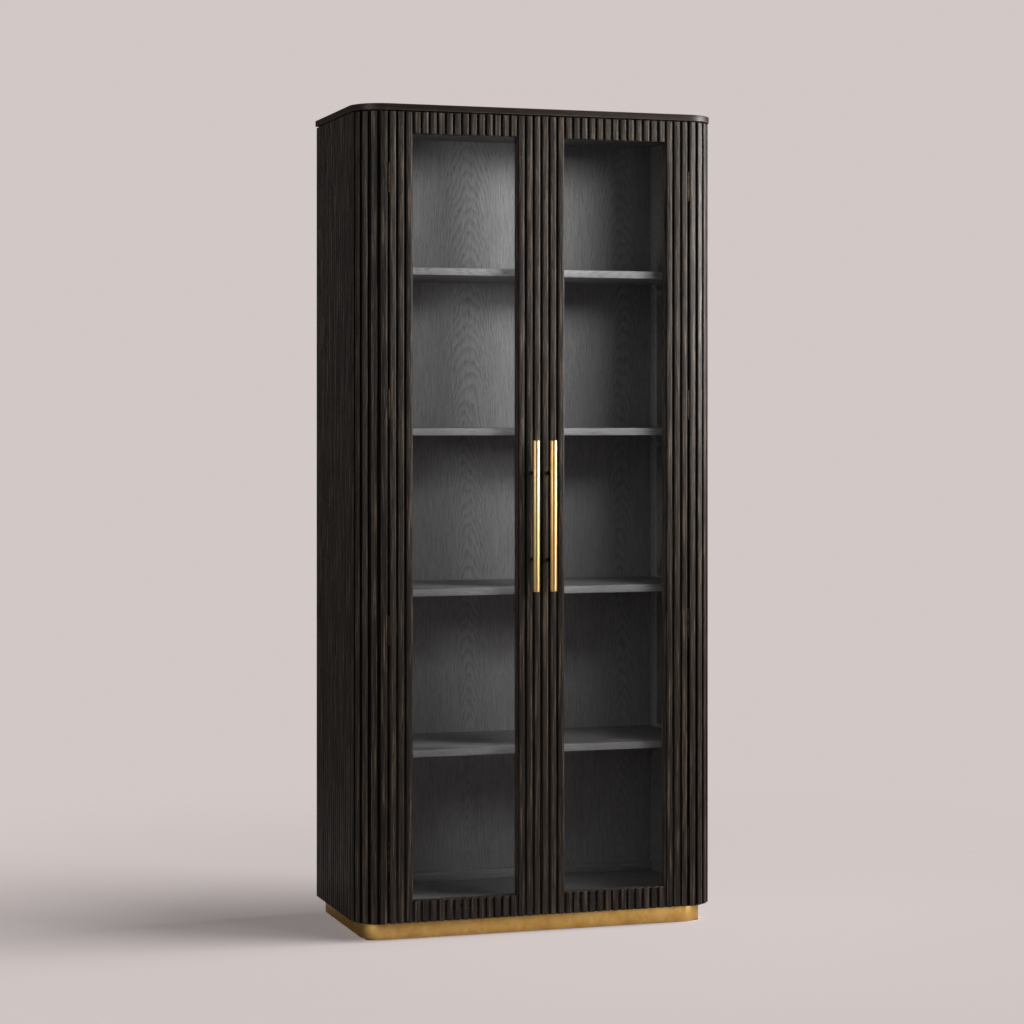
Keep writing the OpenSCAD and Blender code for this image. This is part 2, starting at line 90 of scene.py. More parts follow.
def blend_of(tree, share, first, second, blend_type="MIX"):
    """One colour changing into another by a share from 0 to 1."""
    feeds = {0: share, 6: first, 7: second}
    made = put(tree, "ShaderNodeMix", feeds, data_type="RGBA", blend_type=blend_type)
    return made.outputs[2]


def spread_of(tree, value, low, high, out_low=0.0, out_high=1.0):
    """A value stretched from low..high to out_low..out_high, and held at those ends."""
    feeds = {"Value": value, "From Min": low, "From Max": high,
             "To Min": out_low, "To Max": out_high}
    return put(tree, "ShaderNodeMapRange", feeds).outputs[0]


def group_of(name, takes, gives, gives_kind="Float", tree_kind="ShaderNodeTree"):
    """An empty node group. Each input has a value, or else the kind of its socket."""
    group = bpy.data.node_groups.new(name, tree_kind)
    for label, value in takes.items():
        kind = value if isinstance(value, str) else SOCKET_KINDS[type(value)]
        socket = group.interface.new_socket(label, in_out="INPUT", socket_type=f"NodeSocket{kind}")
        if kind != value:
            socket.default_value = value
    for label in gives:
        group.interface.new_socket(label, in_out="OUTPUT", socket_type=f"NodeSocket{gives_kind}")
    return group, group.nodes.new("NodeGroupInput").outputs, group.nodes.new("NodeGroupOutput")


# Fibres, pores and slow drift of any timber, with the grain running along Z
timber_grain, given, result = group_of(
    "timber_grain",
    {"Place": (0, 0, 0), "Shift": 0.0, "Fibres per metre": 200.0, "Stretch": 30.0,
     "Pores per metre": 900.0, "Pore limit": 0.62}, ("Fibre", "Pores", "Drift"))
shifted = put(timber_grain, "ShaderNodeVectorMath",
              {0: (1.7, 3.1, 5.3), "Scale": given["Shift"]}, operation="SCALE")
place = put(timber_grain, "ShaderNodeVectorMath",
            {0: given["Place"], 1: shifted.outputs[0]}, operation="ADD").outputs[0]
squeeze = sum_of(timber_grain, "DIVIDE", 1.0, given["Stretch"])
along_grain = put(timber_grain, "ShaderNodeCombineXYZ", {"X": 1.0, "Y": 1.0, "Z": squeeze})
long_place = put(timber_grain, "ShaderNodeVectorMath",
                 {0: place, 1: along_grain.outputs[0]}, operation="MULTIPLY").outputs[0]
fibre = put(timber_grain, "ShaderNodeTexNoise",
            {"Vector": long_place, "Scale": given["Fibres per metre"],
             "Detail": 6.0, "Roughness": 0.62})
pore = put(timber_grain, "ShaderNodeTexNoise",
           {"Vector": long_place, "Scale": given["Pores per metre"],
            "Detail": 1.0, "Roughness": 0.5})
drift = put(timber_grain, "ShaderNodeTexNoise",
            {"Vector": long_place, "Scale": 14.0, "Detail": 2.0, "Roughness": 0.5})
pore_top = sum_of(timber_grain, "ADD", given["Pore limit"], 0.1)
timber_grain.links.new(fibre.outputs["Fac"], result.inputs["Fibre"])
timber_grain.links.new(
    spread_of(timber_grain, pore.outputs["Fac"], given["Pore limit"], pore_top),
    result.inputs["Pores"])
timber_grain.links.new(drift.outputs["Fac"], result.inputs["Drift"])

# How a piece's grain is turned so that it runs along Z for the group above
GRAIN_TURN = {"X": (0, math.pi / 2, 0), "Y": (math.pi / 2, 0, 0), "Z": (0, 0, 0)}


def new_finish(name):
    """A material with its Principled shader, ready for nodes."""
    made = bpy.data.materials.new(name)
    made.use_nodes = True
    return made, made.node_tree, made.node_tree.nodes["Principled BSDF"]


def timber_place(tree, grain):
    """Object coordinates turned so that the grain runs along Z."""
    place = put(tree, "ShaderNodeTexCoord").outputs["Object"]
    feeds = {"Vector": place, "Rotation": GRAIN_TURN[grain]}
    return put(tree, "ShaderNodeMapping", feeds).outputs[0]


def relief(tree, height, depth, strength=1.0):
    """A bump of that real depth, in metres."""
    feeds = {"Height": height, "Distance": depth, "Strength": strength}
    return put(tree, "ShaderNodeBump", feeds).outputs[0]


def grain_of(tree, place, fibres, stretch, pores, limit, shift=0.0):
    """The timber grain of a finish: fibres and pores per metre, and how long they are."""
    feeds = {"Place": place, "Shift": shift, "Fibres per metre": fibres, "Stretch": stretch,
             "Pores per metre": pores, "Pore limit": limit}
    return put(tree, "ShaderNodeGroup", feeds, node_tree=timber_grain)


def pine_finish(grain):
    """Bare planed softwood."""
    made, tree, shader = new_finish(f"bare_softwood_{grain.lower()}")
    figure = grain_of(tree, timber_place(tree, grain), 240.0, 22.0, 600.0, 0.66)
    share = spread_of(tree, figure.outputs["Fibre"], 0.32, 0.68)
    colour = blend_of(tree, share, PINE_DARK, PINE_PALE)
    tree.links.new(blend_of(tree, figure.outputs["Pores"], colour, PINE_DARK), shader.inputs["Base Color"])
    tree.links.new(spread_of(tree, share, 0.0, 1.0, 0.62, 0.78), shader.inputs["Roughness"])
    tree.links.new(relief(tree, share, 0.15 * MM), shader.inputs["Normal"])
    return made


def merged_copy(node, name):
    """A copy of a CAD piece's mesh with its loose triangles joined and its flats made whole."""
    mesh = frame["nodes"][node].data.copy()
    mesh.name = name
    shape = bmesh.new()
    shape.from_mesh(mesh)
    bmesh.ops.remove_doubles(shape, verts=shape.verts, dist=0.001 * MM)
    bmesh.ops.dissolve_limit(shape, angle_limit=math.radians(0.5),
                             verts=shape.verts, edges=shape.edges)
    return mesh, shape


def show_piece(mesh, name, body, slot, *nodes):
    """Puts a finished mesh in the scene in place of CAD pieces, riding on their body."""
    piece = bpy.data.objects.new(name, mesh)
    bpy.context.scene.collection.objects.link(piece)
    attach(piece, body)
    if nodes:
        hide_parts(*nodes)
    return piece


def eased_piece(node, name, ease, finish, body, slot, shortest=3 * MM, steps=2, outer=None):
    """A CAD piece with its long arrises eased, as sandpaper or a small round-over leaves
    them. Edges shorter than the shortest, as round small holes, stay sharp. The eased
    faces are marked with 1 in the attribute arris, where a finish rubs thin. outer is a
    second finish and the way that its faces look."""
    mesh, shape = merged_copy(node, name)
    arrises = [edge for edge in shape.edges
               if len(edge.link_faces) == 2 and edge.calc_face_angle() > math.radians(30)
               and edge.calc_length() > shortest]
    mark = shape.faces.layers.float.new("arris")
    made = bmesh.ops.bevel(shape, geom=arrises, offset=ease, segments=steps, profile=0.5,
                           affect="EDGES", clamp_overlap=True)
    for face in made["faces"]:
        face[mark] = 1.0
    for face in shape.faces:
        face.smooth = True
        face.material_index = int(bool(outer) and face.normal.dot(outer[1]) > 0.7)
    shape.to_mesh(mesh)
    shape.free()
    mesh.set_sharp_from_angle(angle=math.radians(50))
    mesh.materials.clear()
    mesh.materials.append(finish)
    if outer:
        mesh.materials.append(outer[0])
    return show_piece(mesh, name, body, slot, node)


pine_along_x = pine_finish("X")
pine_along_y = pine_finish("Y")
for rail, pine in (("plinth_front_rail", pine_along_x), ("plinth_back_rail", pine_along_x),
                   ("plinth_side_rails", pine_along_y), ("plinth_bearers", pine_along_y),
                   ("plinth_corner_blocks", pine_along_x)):
    eased_piece(rail, f"{rail}_planed", PINE_EASE, pine, "case", "softwood")

# ---- Glides ----
# Eight hard plastic discs under the plinth frame, glued and pinned, which keep the
# timber off the floor. Their lower edge is rounded so that they slide.

GLIDE_EASE = 0.0007


def moulded_finish(name, dark, pale, rough, specks, detail, depth):
    """Moulded plastic or rubber. rough is its lowest and highest roughness, specks the
    number of its specks in a metre and depth their relief."""
    made, tree, shader = new_finish(name)
    place = put(tree, "ShaderNodeTexCoord").outputs["Object"]
    feeds = {"Vector": place, "Scale": specks, "Detail": detail}
    speckle = put(tree, "ShaderNodeTexNoise", feeds).outputs["Fac"]
    tree.links.new(blend_of(tree, speckle, dark, pale), shader.inputs["Base Color"])
    tree.links.new(spread_of(tree, speckle, 0.3, 0.7, *rough), shader.inputs["Roughness"])
    tree.links.new(relief(tree, speckle, depth), shader.inputs["Normal"])
    return made


glide_finish = moulded_finish("glide_plastic", (0.012, 0.011, 0.01, 1), (0.03, 0.028, 0.026, 1),
                              (0.42, 0.6), 900.0, 3.0, 0.05 * MM)
eased_piece("floor_glides", "glides_moulded", GLIDE_EASE, glide_finish, "case", "glide_plastic",
            shortest=0.5 * MM)

# ---- Brass facing of the plinth ----
# A strip of sheet brass bent round both front corners, and a strip on each side,
# glued to the timber. It is brushed along its length and has toned a little.

BRASS_EASE = 0.0003
BRASS_BRIGHT = (0.98, 0.63, 0.21, 1)
BRASS_TONED = (0.76, 0.43, 0.11, 1)

# Brushing and tarnish of sheet or bar metal, with the brushing running along X
brushed_metal, given, result = group_of(
    "brushed_metal",
    {"Place": (0, 0, 0), "Lines per metre": 2500.0, "Stretch": 60.0, "Blots per metre": 22.0},
    ("Lines", "Tarnish"))
squeeze = sum_of(brushed_metal, "DIVIDE", 1.0, given["Stretch"])
along = put(brushed_metal, "ShaderNodeCombineXYZ", {"X": squeeze, "Y": 1.0, "Z": 1.0})
line_place = put(brushed_metal, "ShaderNodeVectorMath",
                 {0: given["Place"], 1: along.outputs[0]}, operation="MULTIPLY").outputs[0]
lines = put(brushed_metal, "ShaderNodeTexNoise",
            {"Vector": line_place, "Scale": given["Lines per metre"], "Detail": 2.0})
blots = put(brushed_metal, "ShaderNodeTexNoise",
            {"Vector": given["Place"], "Scale": given["Blots per metre"],
             "Detail": 5.0, "Roughness": 0.62})
brushed_metal.links.new(lines.outputs["Fac"], result.inputs["Lines"])
brushed_metal.links.new(spread_of(brushed_metal, blots.outputs["Fac"], 0.36, 0.66),
                        result.inputs["Tarnish"])


def metal_finish(name, bright, toned, rough, turn=(0, 0, 0), **figures):
    """Brushed metal. rough is its roughness where bright and where toned."""
    made, tree, shader = new_finish(name)
    place = put(tree, "ShaderNodeTexCoord").outputs["Object"]
    place = put(tree, "ShaderNodeMapping", {"Vector": place, "Rotation": turn}).outputs[0]
    brushing = put(tree, "ShaderNodeGroup", {"Place": place}, node_tree=brushed_metal)
    for label, value in figures.items():
        brushing.inputs[label.replace("_", " ")].default_value = value
    colour = blend_of(tree, brushing.outputs["Tarnish"], bright, toned)
    shade = spread_of(tree, brushing.outputs["Lines"], 0.3, 0.7, 0.86, 1.0)
    shade = put(tree, "ShaderNodeCombineColor", {0: shade, 1: shade, 2: shade}).outputs[0]
    tree.links.new(blend_of(tree, 1.0, colour, shade, "MULTIPLY"), shader.inputs["Base Color"])
    rub = sum_of(tree, "MULTIPLY_ADD", brushing.outputs["Lines"], 0.12,
                 spread_of(tree, brushing.outputs["Tarnish"], 0.0, 1.0, rough[0], rough[1]))
    tree.links.new(rub, shader.inputs["Roughness"])
    tree.links.new(relief(tree, brushing.outputs["Lines"], 0.012 * MM), shader.inputs["Normal"])
    shader.inputs["Metallic"].default_value = 1.0
    return made


brass_along_x = metal_finish("brass_brushed_x", BRASS_BRIGHT, BRASS_TONED, (0.34, 0.46))
brass_along_y = metal_finish("brass_brushed_y", BRASS_BRIGHT, BRASS_TONED, (0.34, 0.46),
                             turn=(0, 0, math.pi / 2))
eased_piece("brass_front", "plinth_brass_front", BRASS_EASE, brass_along_x, "case", "brass",
            shortest=1.0 * MM)
eased_piece("brass_sides", "plinth_brass_sides", BRASS_EASE, brass_along_y, "case", "brass",
            shortest=1.0 * MM)

# ---- Carcass boards ----
# Side panels, deck, sub-top, back panel and the strip at its foot: veneered board,
# stained a charcoal grey inside. Outside, the side panels show only between the reeds,
# and there they are painted almost black as shade. The veneer is plain sawn
# oak, so its growth rings make tall arches.

BOARD_EASE = 0.0008
LEAF_W = 0.220
LEAF_X = -0.064
RING_PITCH = 0.0026
RING_LEAN = 0.075
RING_DEPTH = 0.018
INSIDE_DARK = (0.165, 0.151, 0.155, 1)
INSIDE_PALE = (0.282, 0.262, 0.266, 1)
INSIDE_PORE = (0.080, 0.075, 0.073, 1)

# Growth rings cut by a plain sawn face. Place has X across the leaf of veneer, Y into
# the board and Z up the trunk; Leaf gives the width of one leaf.
growth_rings, given, result = group_of(
    "growth_rings",
    {"Place": (0, 0, 0), "Leaf": LEAF_W, "Middle": LEAF_X, "Pitch": RING_PITCH,
     "Lean": RING_LEAN, "Depth": RING_DEPTH}, ("Rings", "Leaf tone"))
sway = put(growth_rings, "ShaderNodeVectorMath",
           {0: given["Place"], 1: (3.2, 3.2, 1.7)}, operation="MULTIPLY").outputs[0]
sway = put(growth_rings, "ShaderNodeTexNoise", {"Vector": sway, "Scale": 1.6, "Detail": 2.0})
waver = put(growth_rings, "ShaderNodeVectorMath",
            {0: given["Place"], 1: (60.0, 60.0, 9.0)}, operation="MULTIPLY").outputs[0]
waver = put(growth_rings, "ShaderNodeTexNoise", {"Vector": waver, "Scale": 1.0, "Detail": 3.0})
parts = put(growth_rings, "ShaderNodeSeparateXYZ", {0: given["Place"]}).outputs
from_middle = sum_of(growth_rings, "SUBTRACT", parts["X"], given["Middle"])
in_leaves = sum_of(growth_rings, "DIVIDE", from_middle, given["Leaf"])
leaf_number = sum_of(growth_rings, "ROUND", in_leaves)
across = sum_of(growth_rings, "MULTIPLY", sum_of(growth_rings, "SUBTRACT", in_leaves, leaf_number),
                given["Leaf"])
across = sum_of(growth_rings, "MULTIPLY_ADD", sum_of(growth_rings, "SUBTRACT", sway.outputs["Fac"], 0.5),
                0.07, across)
up = sum_of(growth_rings, "MULTIPLY_ADD", leaf_number, 0.13, parts["Z"])
deep = sum_of(growth_rings, "MULTIPLY_ADD", up, given["Lean"], given["Depth"])
radius = sum_of(growth_rings, "SQRT",
                sum_of(growth_rings, "ADD", sum_of(growth_rings, "MULTIPLY", across, across),
                       sum_of(growth_rings, "MULTIPLY", deep, deep)))
radius = sum_of(growth_rings, "MULTIPLY_ADD",
                sum_of(growth_rings, "SUBTRACT", waver.outputs["Fac"], 0.5), 0.0055, radius)
ring = sum_of(growth_rings, "FRACT", sum_of(growth_rings, "DIVIDE", radius, given["Pitch"]))
late = spread_of(growth_rings, ring, 0.35, 0.9)
early = spread_of(growth_rings, ring, 0.9, 1.0, 1.0, 0.0)
growth_rings.links.new(sum_of(growth_rings, "MULTIPLY", late, early), result.inputs["Rings"])
leaf_tone = put(growth_rings, "ShaderNodeTexWhiteNoise", {"W": leaf_number}, noise_dimensions="1D")
growth_rings.links.new(leaf_tone.outputs["Value"], result.inputs["Leaf tone"])


def inside_finish(name, grain, ring_share=0.5, shift=0.0, middle=LEAF_X, leaf=LEAF_W):
    """Charcoal stained oak veneer, satin lacquered."""
    made, tree, shader = new_finish(name)
    place = timber_place(tree, grain)
    figure = grain_of(tree, place, 300.0, 26.0, 1100.0, 0.56, shift)
    rings = put(tree, "ShaderNodeGroup",
                {"Place": place, "Middle": middle, "Leaf": leaf}, node_tree=growth_rings)
    fibre = spread_of(tree, figure.outputs["Fibre"], 0.3, 0.7)
    dark = sum_of(tree, "MULTIPLY", rings.outputs["Rings"], ring_share)
    share = sum_of(tree, "SUBTRACT", fibre, dark)
    share = sum_of(tree, "MULTIPLY_ADD", figure.outputs["Drift"], 0.4, share)
    share = sum_of(tree, "MULTIPLY_ADD", rings.outputs["Leaf tone"], 0.12, share)
    share = spread_of(tree, share, -0.3, 1.1)
    colour = blend_of(tree, share, INSIDE_DARK, INSIDE_PALE)
    pores = sum_of(tree, "MULTIPLY", figure.outputs["Pores"],
                   spread_of(tree, rings.outputs["Rings"], 0.0, 1.0, 0.25, 0.9))
    tree.links.new(blend_of(tree, pores, colour, INSIDE_PORE), shader.inputs["Base Color"])
    tree.links.new(spread_of(tree, share, 0.0, 1.0, 0.58, 0.44), shader.inputs["Roughness"])
    tree.links.new(relief(tree, sum_of(tree, "SUBTRACT", share, pores), 0.10 * MM),
                   shader.inputs["Normal"])
    return made


OAK_BLACK = (0.0050, 0.0036, 0.0027, 1)
OAK_BROWN = (0.044, 0.031, 0.022, 1)
OAK_FLECK = (0.185, 0.138, 0.100, 1)
OAK_SHEEN = 0.3


def outside_finish(name, grain, shift=0.0, by_piece=False, painted_shade_board=False):
    """Brown black oak, wire brushed so that the soft wood stands back from the hard. The
    stain is thin on the ridges and on arrises, and lies black in the pores. The two sides
    of each reed are painted darker, towards black, as the shade in the grooves between
    reeds; by_piece reads tone, which is different on each reed. The flag for the board
    between two reeds paints that board almost black all over, as shade, with little sheen."""
    made, tree, shader = new_finish(name)
    figure = grain_of(tree, timber_place(tree, grain), 230.0, 34.0, 800.0, 0.56, shift)
    fibre = spread_of(tree, figure.outputs["Fibre"], 0.34, 0.66)
    arris = put(tree, "ShaderNodeAttribute", attribute_name="arris").outputs["Fac"]
    share = sum_of(tree, "MULTIPLY_ADD", figure.outputs["Drift"], 0.5, fibre)
    if by_piece:
        tone = put(tree, "ShaderNodeAttribute", attribute_name="tone").outputs["Fac"]
        tree.links.new(tone, figure.inputs["Shift"])
        share = sum_of(tree, "MULTIPLY_ADD", tone, 0.35, share)
    share = spread_of(tree, share, 0.2, 1.35)
    colour = blend_of(tree, share, OAK_BLACK, OAK_BROWN)
    flecks = spread_of(tree, figure.outputs["Fibre"], 0.53, 0.68)
    rubbed = sum_of(tree, "MAXIMUM", sum_of(tree, "MULTIPLY", flecks, 0.65),
                    sum_of(tree, "MULTIPLY", arris, fibre))
    colour = blend_of(tree, rubbed, colour, OAK_FLECK)
    # Painted shade: each reed's two sides are blended towards black, as the shade in the grooves between
    # reeds.
    flank_shade_mask = put(tree, "ShaderNodeAttribute", attribute_name="flank_shade_mask").outputs["Fac"]
    pores_and_painted_shade = sum_of(tree, "MAXIMUM", figure.outputs["Pores"], spread_of(tree, flank_shade_mask, 0.05, 0.6))
    # Painted shade: the board between reeds is made almost black all over, with little sheen.
    if painted_shade_board:
        pores_and_painted_shade = spread_of(tree, fibre, 0.0, 1.0, 1.0, 0.8)
    tree.links.new(blend_of(tree, pores_and_painted_shade, colour, OAK_BLACK), shader.inputs["Base Color"])
    tree.links.new(spread_of(tree, share, 0.0, 1.0, 0.56, 0.40), shader.inputs["Roughness"])
    shader.inputs["Specular IOR Level"].default_value = 0.05 if painted_shade_board else OAK_SHEEN
    height = sum_of(tree, "SUBTRACT", fibre, sum_of(tree, "MULTIPLY", figure.outputs["Pores"], 0.6))
    tree.links.new(relief(tree, height, 0.35 * MM), shader.inputs["Normal"])
    return made


# A finish for faces seen only between reeds: painted almost black as the shade in the grooves.
oak_painted_shade = outside_finish("oak_painted_groove_shade", "Z", shift=3.3, painted_shade_board=True)
inside_along_z = inside_finish("oak_inside_upright", "Z", 0.55)
inside_along_x = inside_finish("oak_inside_level", "X", 0.35, shift=0.7, middle=0.05, leaf=0.30)
inside_side = inside_finish("oak_inside_sides", "Z", 0.35, shift=2.3)
# The outer faces of the side panels take the finish painted almost black as shade.
for side, label in ((-1, "left"), (1, "right")):
    eased_piece(f"{label}_side_panel", f"{label}_side_panel_veneered", BOARD_EASE, inside_side, "case",
                "oak_inside", outer=(oak_painted_shade, Vector((side, 0, 0))))
for node in ("deck", "sub_top", "foot_strip"):
    eased_piece(node, f"{node}_veneered", BOARD_EASE, inside_along_x, "case", "oak_inside")
eased_piece("back_panel", "back_panel_veneered", 0.3 * MM, inside_along_z, "case", "oak_inside")

# ---- Corner posts ----
# Solid oak quarter columns that stand on the deck's front corners. Only thin lines of
# them show, between the corner reeds, and they are painted almost black as shade.

POST_EASE = 0.0006
for node in ("left_corner_post", "right_corner_post"):
    eased_piece(node, f"{node}_turned", POST_EASE, oak_painted_shade, "case", "oak_dark")

# ---- Reeds of the case ----
# Oak reeds with rounded shoulders and a slight crown, moulded, brushed and glued side by
# side: a row of them up each side panel and a fan round each corner post.

REED_GROOVE = 0.0063
REED_SHOULDER = 0.0025
REED_CROWN = 0.060
REED_END = 0.0012
SIDE_REEDS = 17
CORNER_REEDS = 5
STILE_REEDS = 3
REED_SEED = 7
OUTLINE_POINTS = 16
SHOULDER_STEPS = 5
CROWN_INSET = 0.667
LONG_RINGS = 12
SHORT_RINGS = 4

left_hinge = next(j for j in frame["joints"] if j["name"] == "left_door_hinge")
side_low, side_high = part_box("left_side_panel")
reeds_low, reeds_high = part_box("left_case_reeds")
reed_depth = side_low.x - reeds_low.x
corner_y = side_low.y
corner_x = -left_hinge["pos_m"][0]


def shape_group(name, takes):
    """An empty group for geometry."""
    return group_of(name, takes, ("Geometry",), "Geometry", "GeometryNodeTree")


# One row of reeds. Each stands at Start plus its number times Step, its back turned
# by Turn plus its number times Fan, and Radius in front of that point. Half of its
# outline is a back corner, the arc of a shoulder and one point on the crown.
reed_row, given, result = shape_group("reed_row", {
    "Count": STILE_REEDS, "Start": (0, 0, 0), "Step": (0, 0, 0), "Turn": 0.0, "Fan": 0.0,
    "Radius": 0.0, "Width": 0.016, "Depth": reed_depth, "Height": 2.0, "End": REED_END,
    "Shoulder": REED_SHOULDER, "Crown": REED_CROWN, "Rings": LONG_RINGS, "Seed": REED_SEED})
number = put(reed_row, "GeometryNodeInputIndex").outputs[0]
from_back = sum_of(reed_row, "MINIMUM", number,
                   sum_of(reed_row, "SUBTRACT", OUTLINE_POINTS - 1.0, number))
side_of = sum_of(reed_row, "SIGN", sum_of(reed_row, "SUBTRACT", number, (OUTLINE_POINTS - 1) / 2))
bend = spread_of(reed_row, from_back, 1.0, 1.0 + SHOULDER_STEPS, 0.0, math.pi / 2)
half_flat = sum_of(reed_row, "MULTIPLY_ADD", given["Width"], 0.5,
                   sum_of(reed_row, "MULTIPLY", given["Shoulder"], -1.0))
across = sum_of(reed_row, "MULTIPLY_ADD", given["Shoulder"], sum_of(reed_row, "COSINE", bend), half_flat)
in_middle = sum_of(reed_row, "MULTIPLY",
                   sum_of(reed_row, "GREATER_THAN", from_back, SHOULDER_STEPS + 1.5), CROWN_INSET)
across = sum_of(reed_row, "SUBTRACT", across, sum_of(reed_row, "MULTIPLY", in_middle, half_flat))
fall = sum_of(reed_row, "DIVIDE", sum_of(reed_row, "MULTIPLY", across, across),
              sum_of(reed_row, "MULTIPLY", given["Crown"], 2.0))
rise = sum_of(reed_row, "SUBTRACT", 1.0, sum_of(reed_row, "SINE", bend))
fall = sum_of(reed_row, "MULTIPLY_ADD", rise, given["Shoulder"], fall)
out = sum_of(reed_row, "MULTIPLY", sum_of(reed_row, "SUBTRACT", fall, given["Depth"]),
             sum_of(reed_row, "GREATER_THAN", from_back, 0.5))
outline = put(reed_row, "ShaderNodeCombineXYZ",
              {"X": sum_of(reed_row, "MULTIPLY", across, side_of), "Y": out})
section = put(reed_row, "GeometryNodeMeshLine",
              {"Count": OUTLINE_POINTS, "Offset": (1, 0, 0)}).outputs[0]
section = put(reed_row, "GeometryNodeSetPosition", {"Geometry": section, "Position": outline.outputs[0]})
section = put(reed_row, "GeometryNodeMeshToCurve", {"Mesh": section.outputs[0]}).outputs[0]
section = put(reed_row, "GeometryNodeSetSplineCyclic", {"Geometry": section, "Cyclic": True}).outputs[0]
spaces = sum_of(reed_row, "SUBTRACT", given["Rings"], 3.0)
straight = sum_of(reed_row, "SUBTRACT", given["Height"], sum_of(reed_row, "MULTIPLY", given["End"], 2.0))
each = sum_of(reed_row, "DIVIDE", straight, spaces)
level = sum_of(reed_row, "MULTIPLY_ADD", sum_of(reed_row, "SUBTRACT", number, 1.0), each, given["End"])
level = sum_of(reed_row, "MAXIMUM", sum_of(reed_row, "MINIMUM", level, given["Height"]), 0.0)
stem = put(reed_row, "GeometryNodeMeshLine", {"Count": given["Rings"], "Offset": (0, 0, 1)})
stem = put(reed_row, "GeometryNodeSetPosition",
           {"Geometry": stem.outputs[0],
            "Position": put(reed_row, "ShaderNodeCombineXYZ", {"Z": level}).outputs[0]})
stem = put(reed_row, "GeometryNodeMeshToCurve", {"Mesh": stem.outputs[0]}).outputs[0]
last = sum_of(reed_row, "SUBTRACT", given["Rings"], 1.5)
at_end = sum_of(reed_row, "MAXIMUM", sum_of(reed_row, "LESS_THAN", number, 0.5),
                sum_of(reed_row, "GREATER_THAN", number, last))
shrink = sum_of(reed_row, "DIVIDE", given["End"], given["Depth"])
girth = sum_of(reed_row, "SUBTRACT", 1.0, sum_of(reed_row, "MULTIPLY", at_end, shrink))
reed = put(reed_row, "GeometryNodeCurveToMesh",
           {"Curve": stem, "Profile Curve": section, "Scale": girth, "Fill Caps": True}).outputs[0]
spot = put(reed_row, "GeometryNodeInputPosition").outputs[0]
stand_out = put(reed_row, "ShaderNodeSeparateXYZ", {0: spot})
# A mask that is 1 on the reed's sides towards its back, which the finish uses to paint shade into the
# grooves.
flank_shade_mask = spread_of(reed_row, sum_of(reed_row, "ADD", stand_out.outputs["Y"], given["Depth"]),
                  sum_of(reed_row, "MULTIPLY", given["Shoulder"], 0.2), given["Shoulder"])
reed = put(reed_row, "GeometryNodeStoreNamedAttribute",
           {"Geometry": reed, "Name": "flank_shade_mask", "Value": flank_shade_mask}, domain="POINT", data_type="FLOAT").outputs[0]
reed = put(reed_row, "GeometryNodeTransform",
           {"Geometry": reed,
            "Translation": put(reed_row, "ShaderNodeCombineXYZ",
                               {"Y": sum_of(reed_row, "MULTIPLY", given["Radius"], -1.0)}).outputs[0]})
feet = put(reed_row, "GeometryNodeMeshLine",
           {"Count": given["Count"], "Start Location": given["Start"], "Offset": given["Step"]})
turned = sum_of(reed_row, "MULTIPLY_ADD", number, given["Fan"], given["Turn"])
turned = put(reed_row, "ShaderNodeCombineXYZ", {"Z": turned}).outputs[0]
placed = put(reed_row, "GeometryNodeInstanceOnPoints",
             {"Points": feet.outputs[0], "Instance": reed.outputs[0], "Rotation": turned}).outputs[0]
tone = put(reed_row, "FunctionNodeRandomValue", {"Seed": given["Seed"], "ID": number}, data_type="FLOAT")
placed = put(reed_row, "GeometryNodeStoreNamedAttribute",
             {"Geometry": placed, "Name": "tone", "Value": tone.outputs[1]},
             domain="INSTANCE", data_type="FLOAT").outputs[0]
reed_row.links.new(placed, result.inputs["Geometry"])


def reeding(name, rows, finish, body, *nodes):
    """Rows of reeds, each given as the inputs of reed_row, as one plain mesh."""
    tree, given, result = shape_group(name, {"Geometry": "Geometry", "Depth": reed_depth,
                                             "Seed": REED_SEED, "Finish": "Material"})
    joined = tree.nodes.new("GeometryNodeJoinGeometry")
    for number, row in enumerate(rows):
        seed = sum_of(tree, "ADD", given["Seed"], float(number))
        made = put(tree, "GeometryNodeGroup", {**row, "Depth": given["Depth"], "Seed": seed},
                   node_tree=reed_row)
        tree.links.new(made.outputs[0], joined.inputs[0])
    whole = put(tree, "GeometryNodeRealizeInstances", {"Geometry": joined.outputs[0]}).outputs[0]
    whole = put(tree, "GeometryNodeSetMaterial", {"Geometry": whole, "Material": given["Finish"]})
    tree.links.new(whole.outputs[0], result.inputs["Geometry"])
    return grown_mesh(name, tree, {"Finish": finish}, body, "oak_dark", nodes)


def grown_mesh(name, tree, inputs, body, slot, nodes, points=(), ways=()):
    """Runs a geometry tree on an object and keeps what it makes as a plain mesh. The
    object's points, and the way that each faces, are what the tree puts pieces on."""
    base = bpy.data.meshes.new(f"{name}_base")
    base.from_pydata([tuple(point) for point in points], [], [])
    if ways:
        facing = base.attributes.new("way", "FLOAT_VECTOR", "POINT")
        facing.data.foreach_set("vector", [value for way in ways for value in way])
    host = bpy.data.objects.new(f"{name}_host", base)
    bpy.context.scene.collection.objects.link(host)
    modifier = host.modifiers.new(name, "NODES")
    modifier.node_group = tree
    for socket in tree.interface.items_tree:
        if socket.in_out == "INPUT" and socket.name in inputs:
            modifier[socket.identifier] = inputs[socket.name]
    bpy.context.view_layer.update()
    seen = host.evaluated_get(bpy.context.evaluated_depsgraph_get())
    mesh = bpy.data.meshes.new_from_object(seen)
    mesh.name = name
    bpy.data.objects.remove(host)
    shape = bmesh.new()
    shape.from_mesh(mesh)
    bmesh.ops.recalc_face_normals(shape, faces=shape.faces)
    for face in shape.faces:
        face.smooth = True
    shape.to_mesh(mesh)
    shape.free()
    mesh.set_sharp_from_angle(angle=math.radians(40))
    return show_piece(mesh, name, body, slot, *nodes)


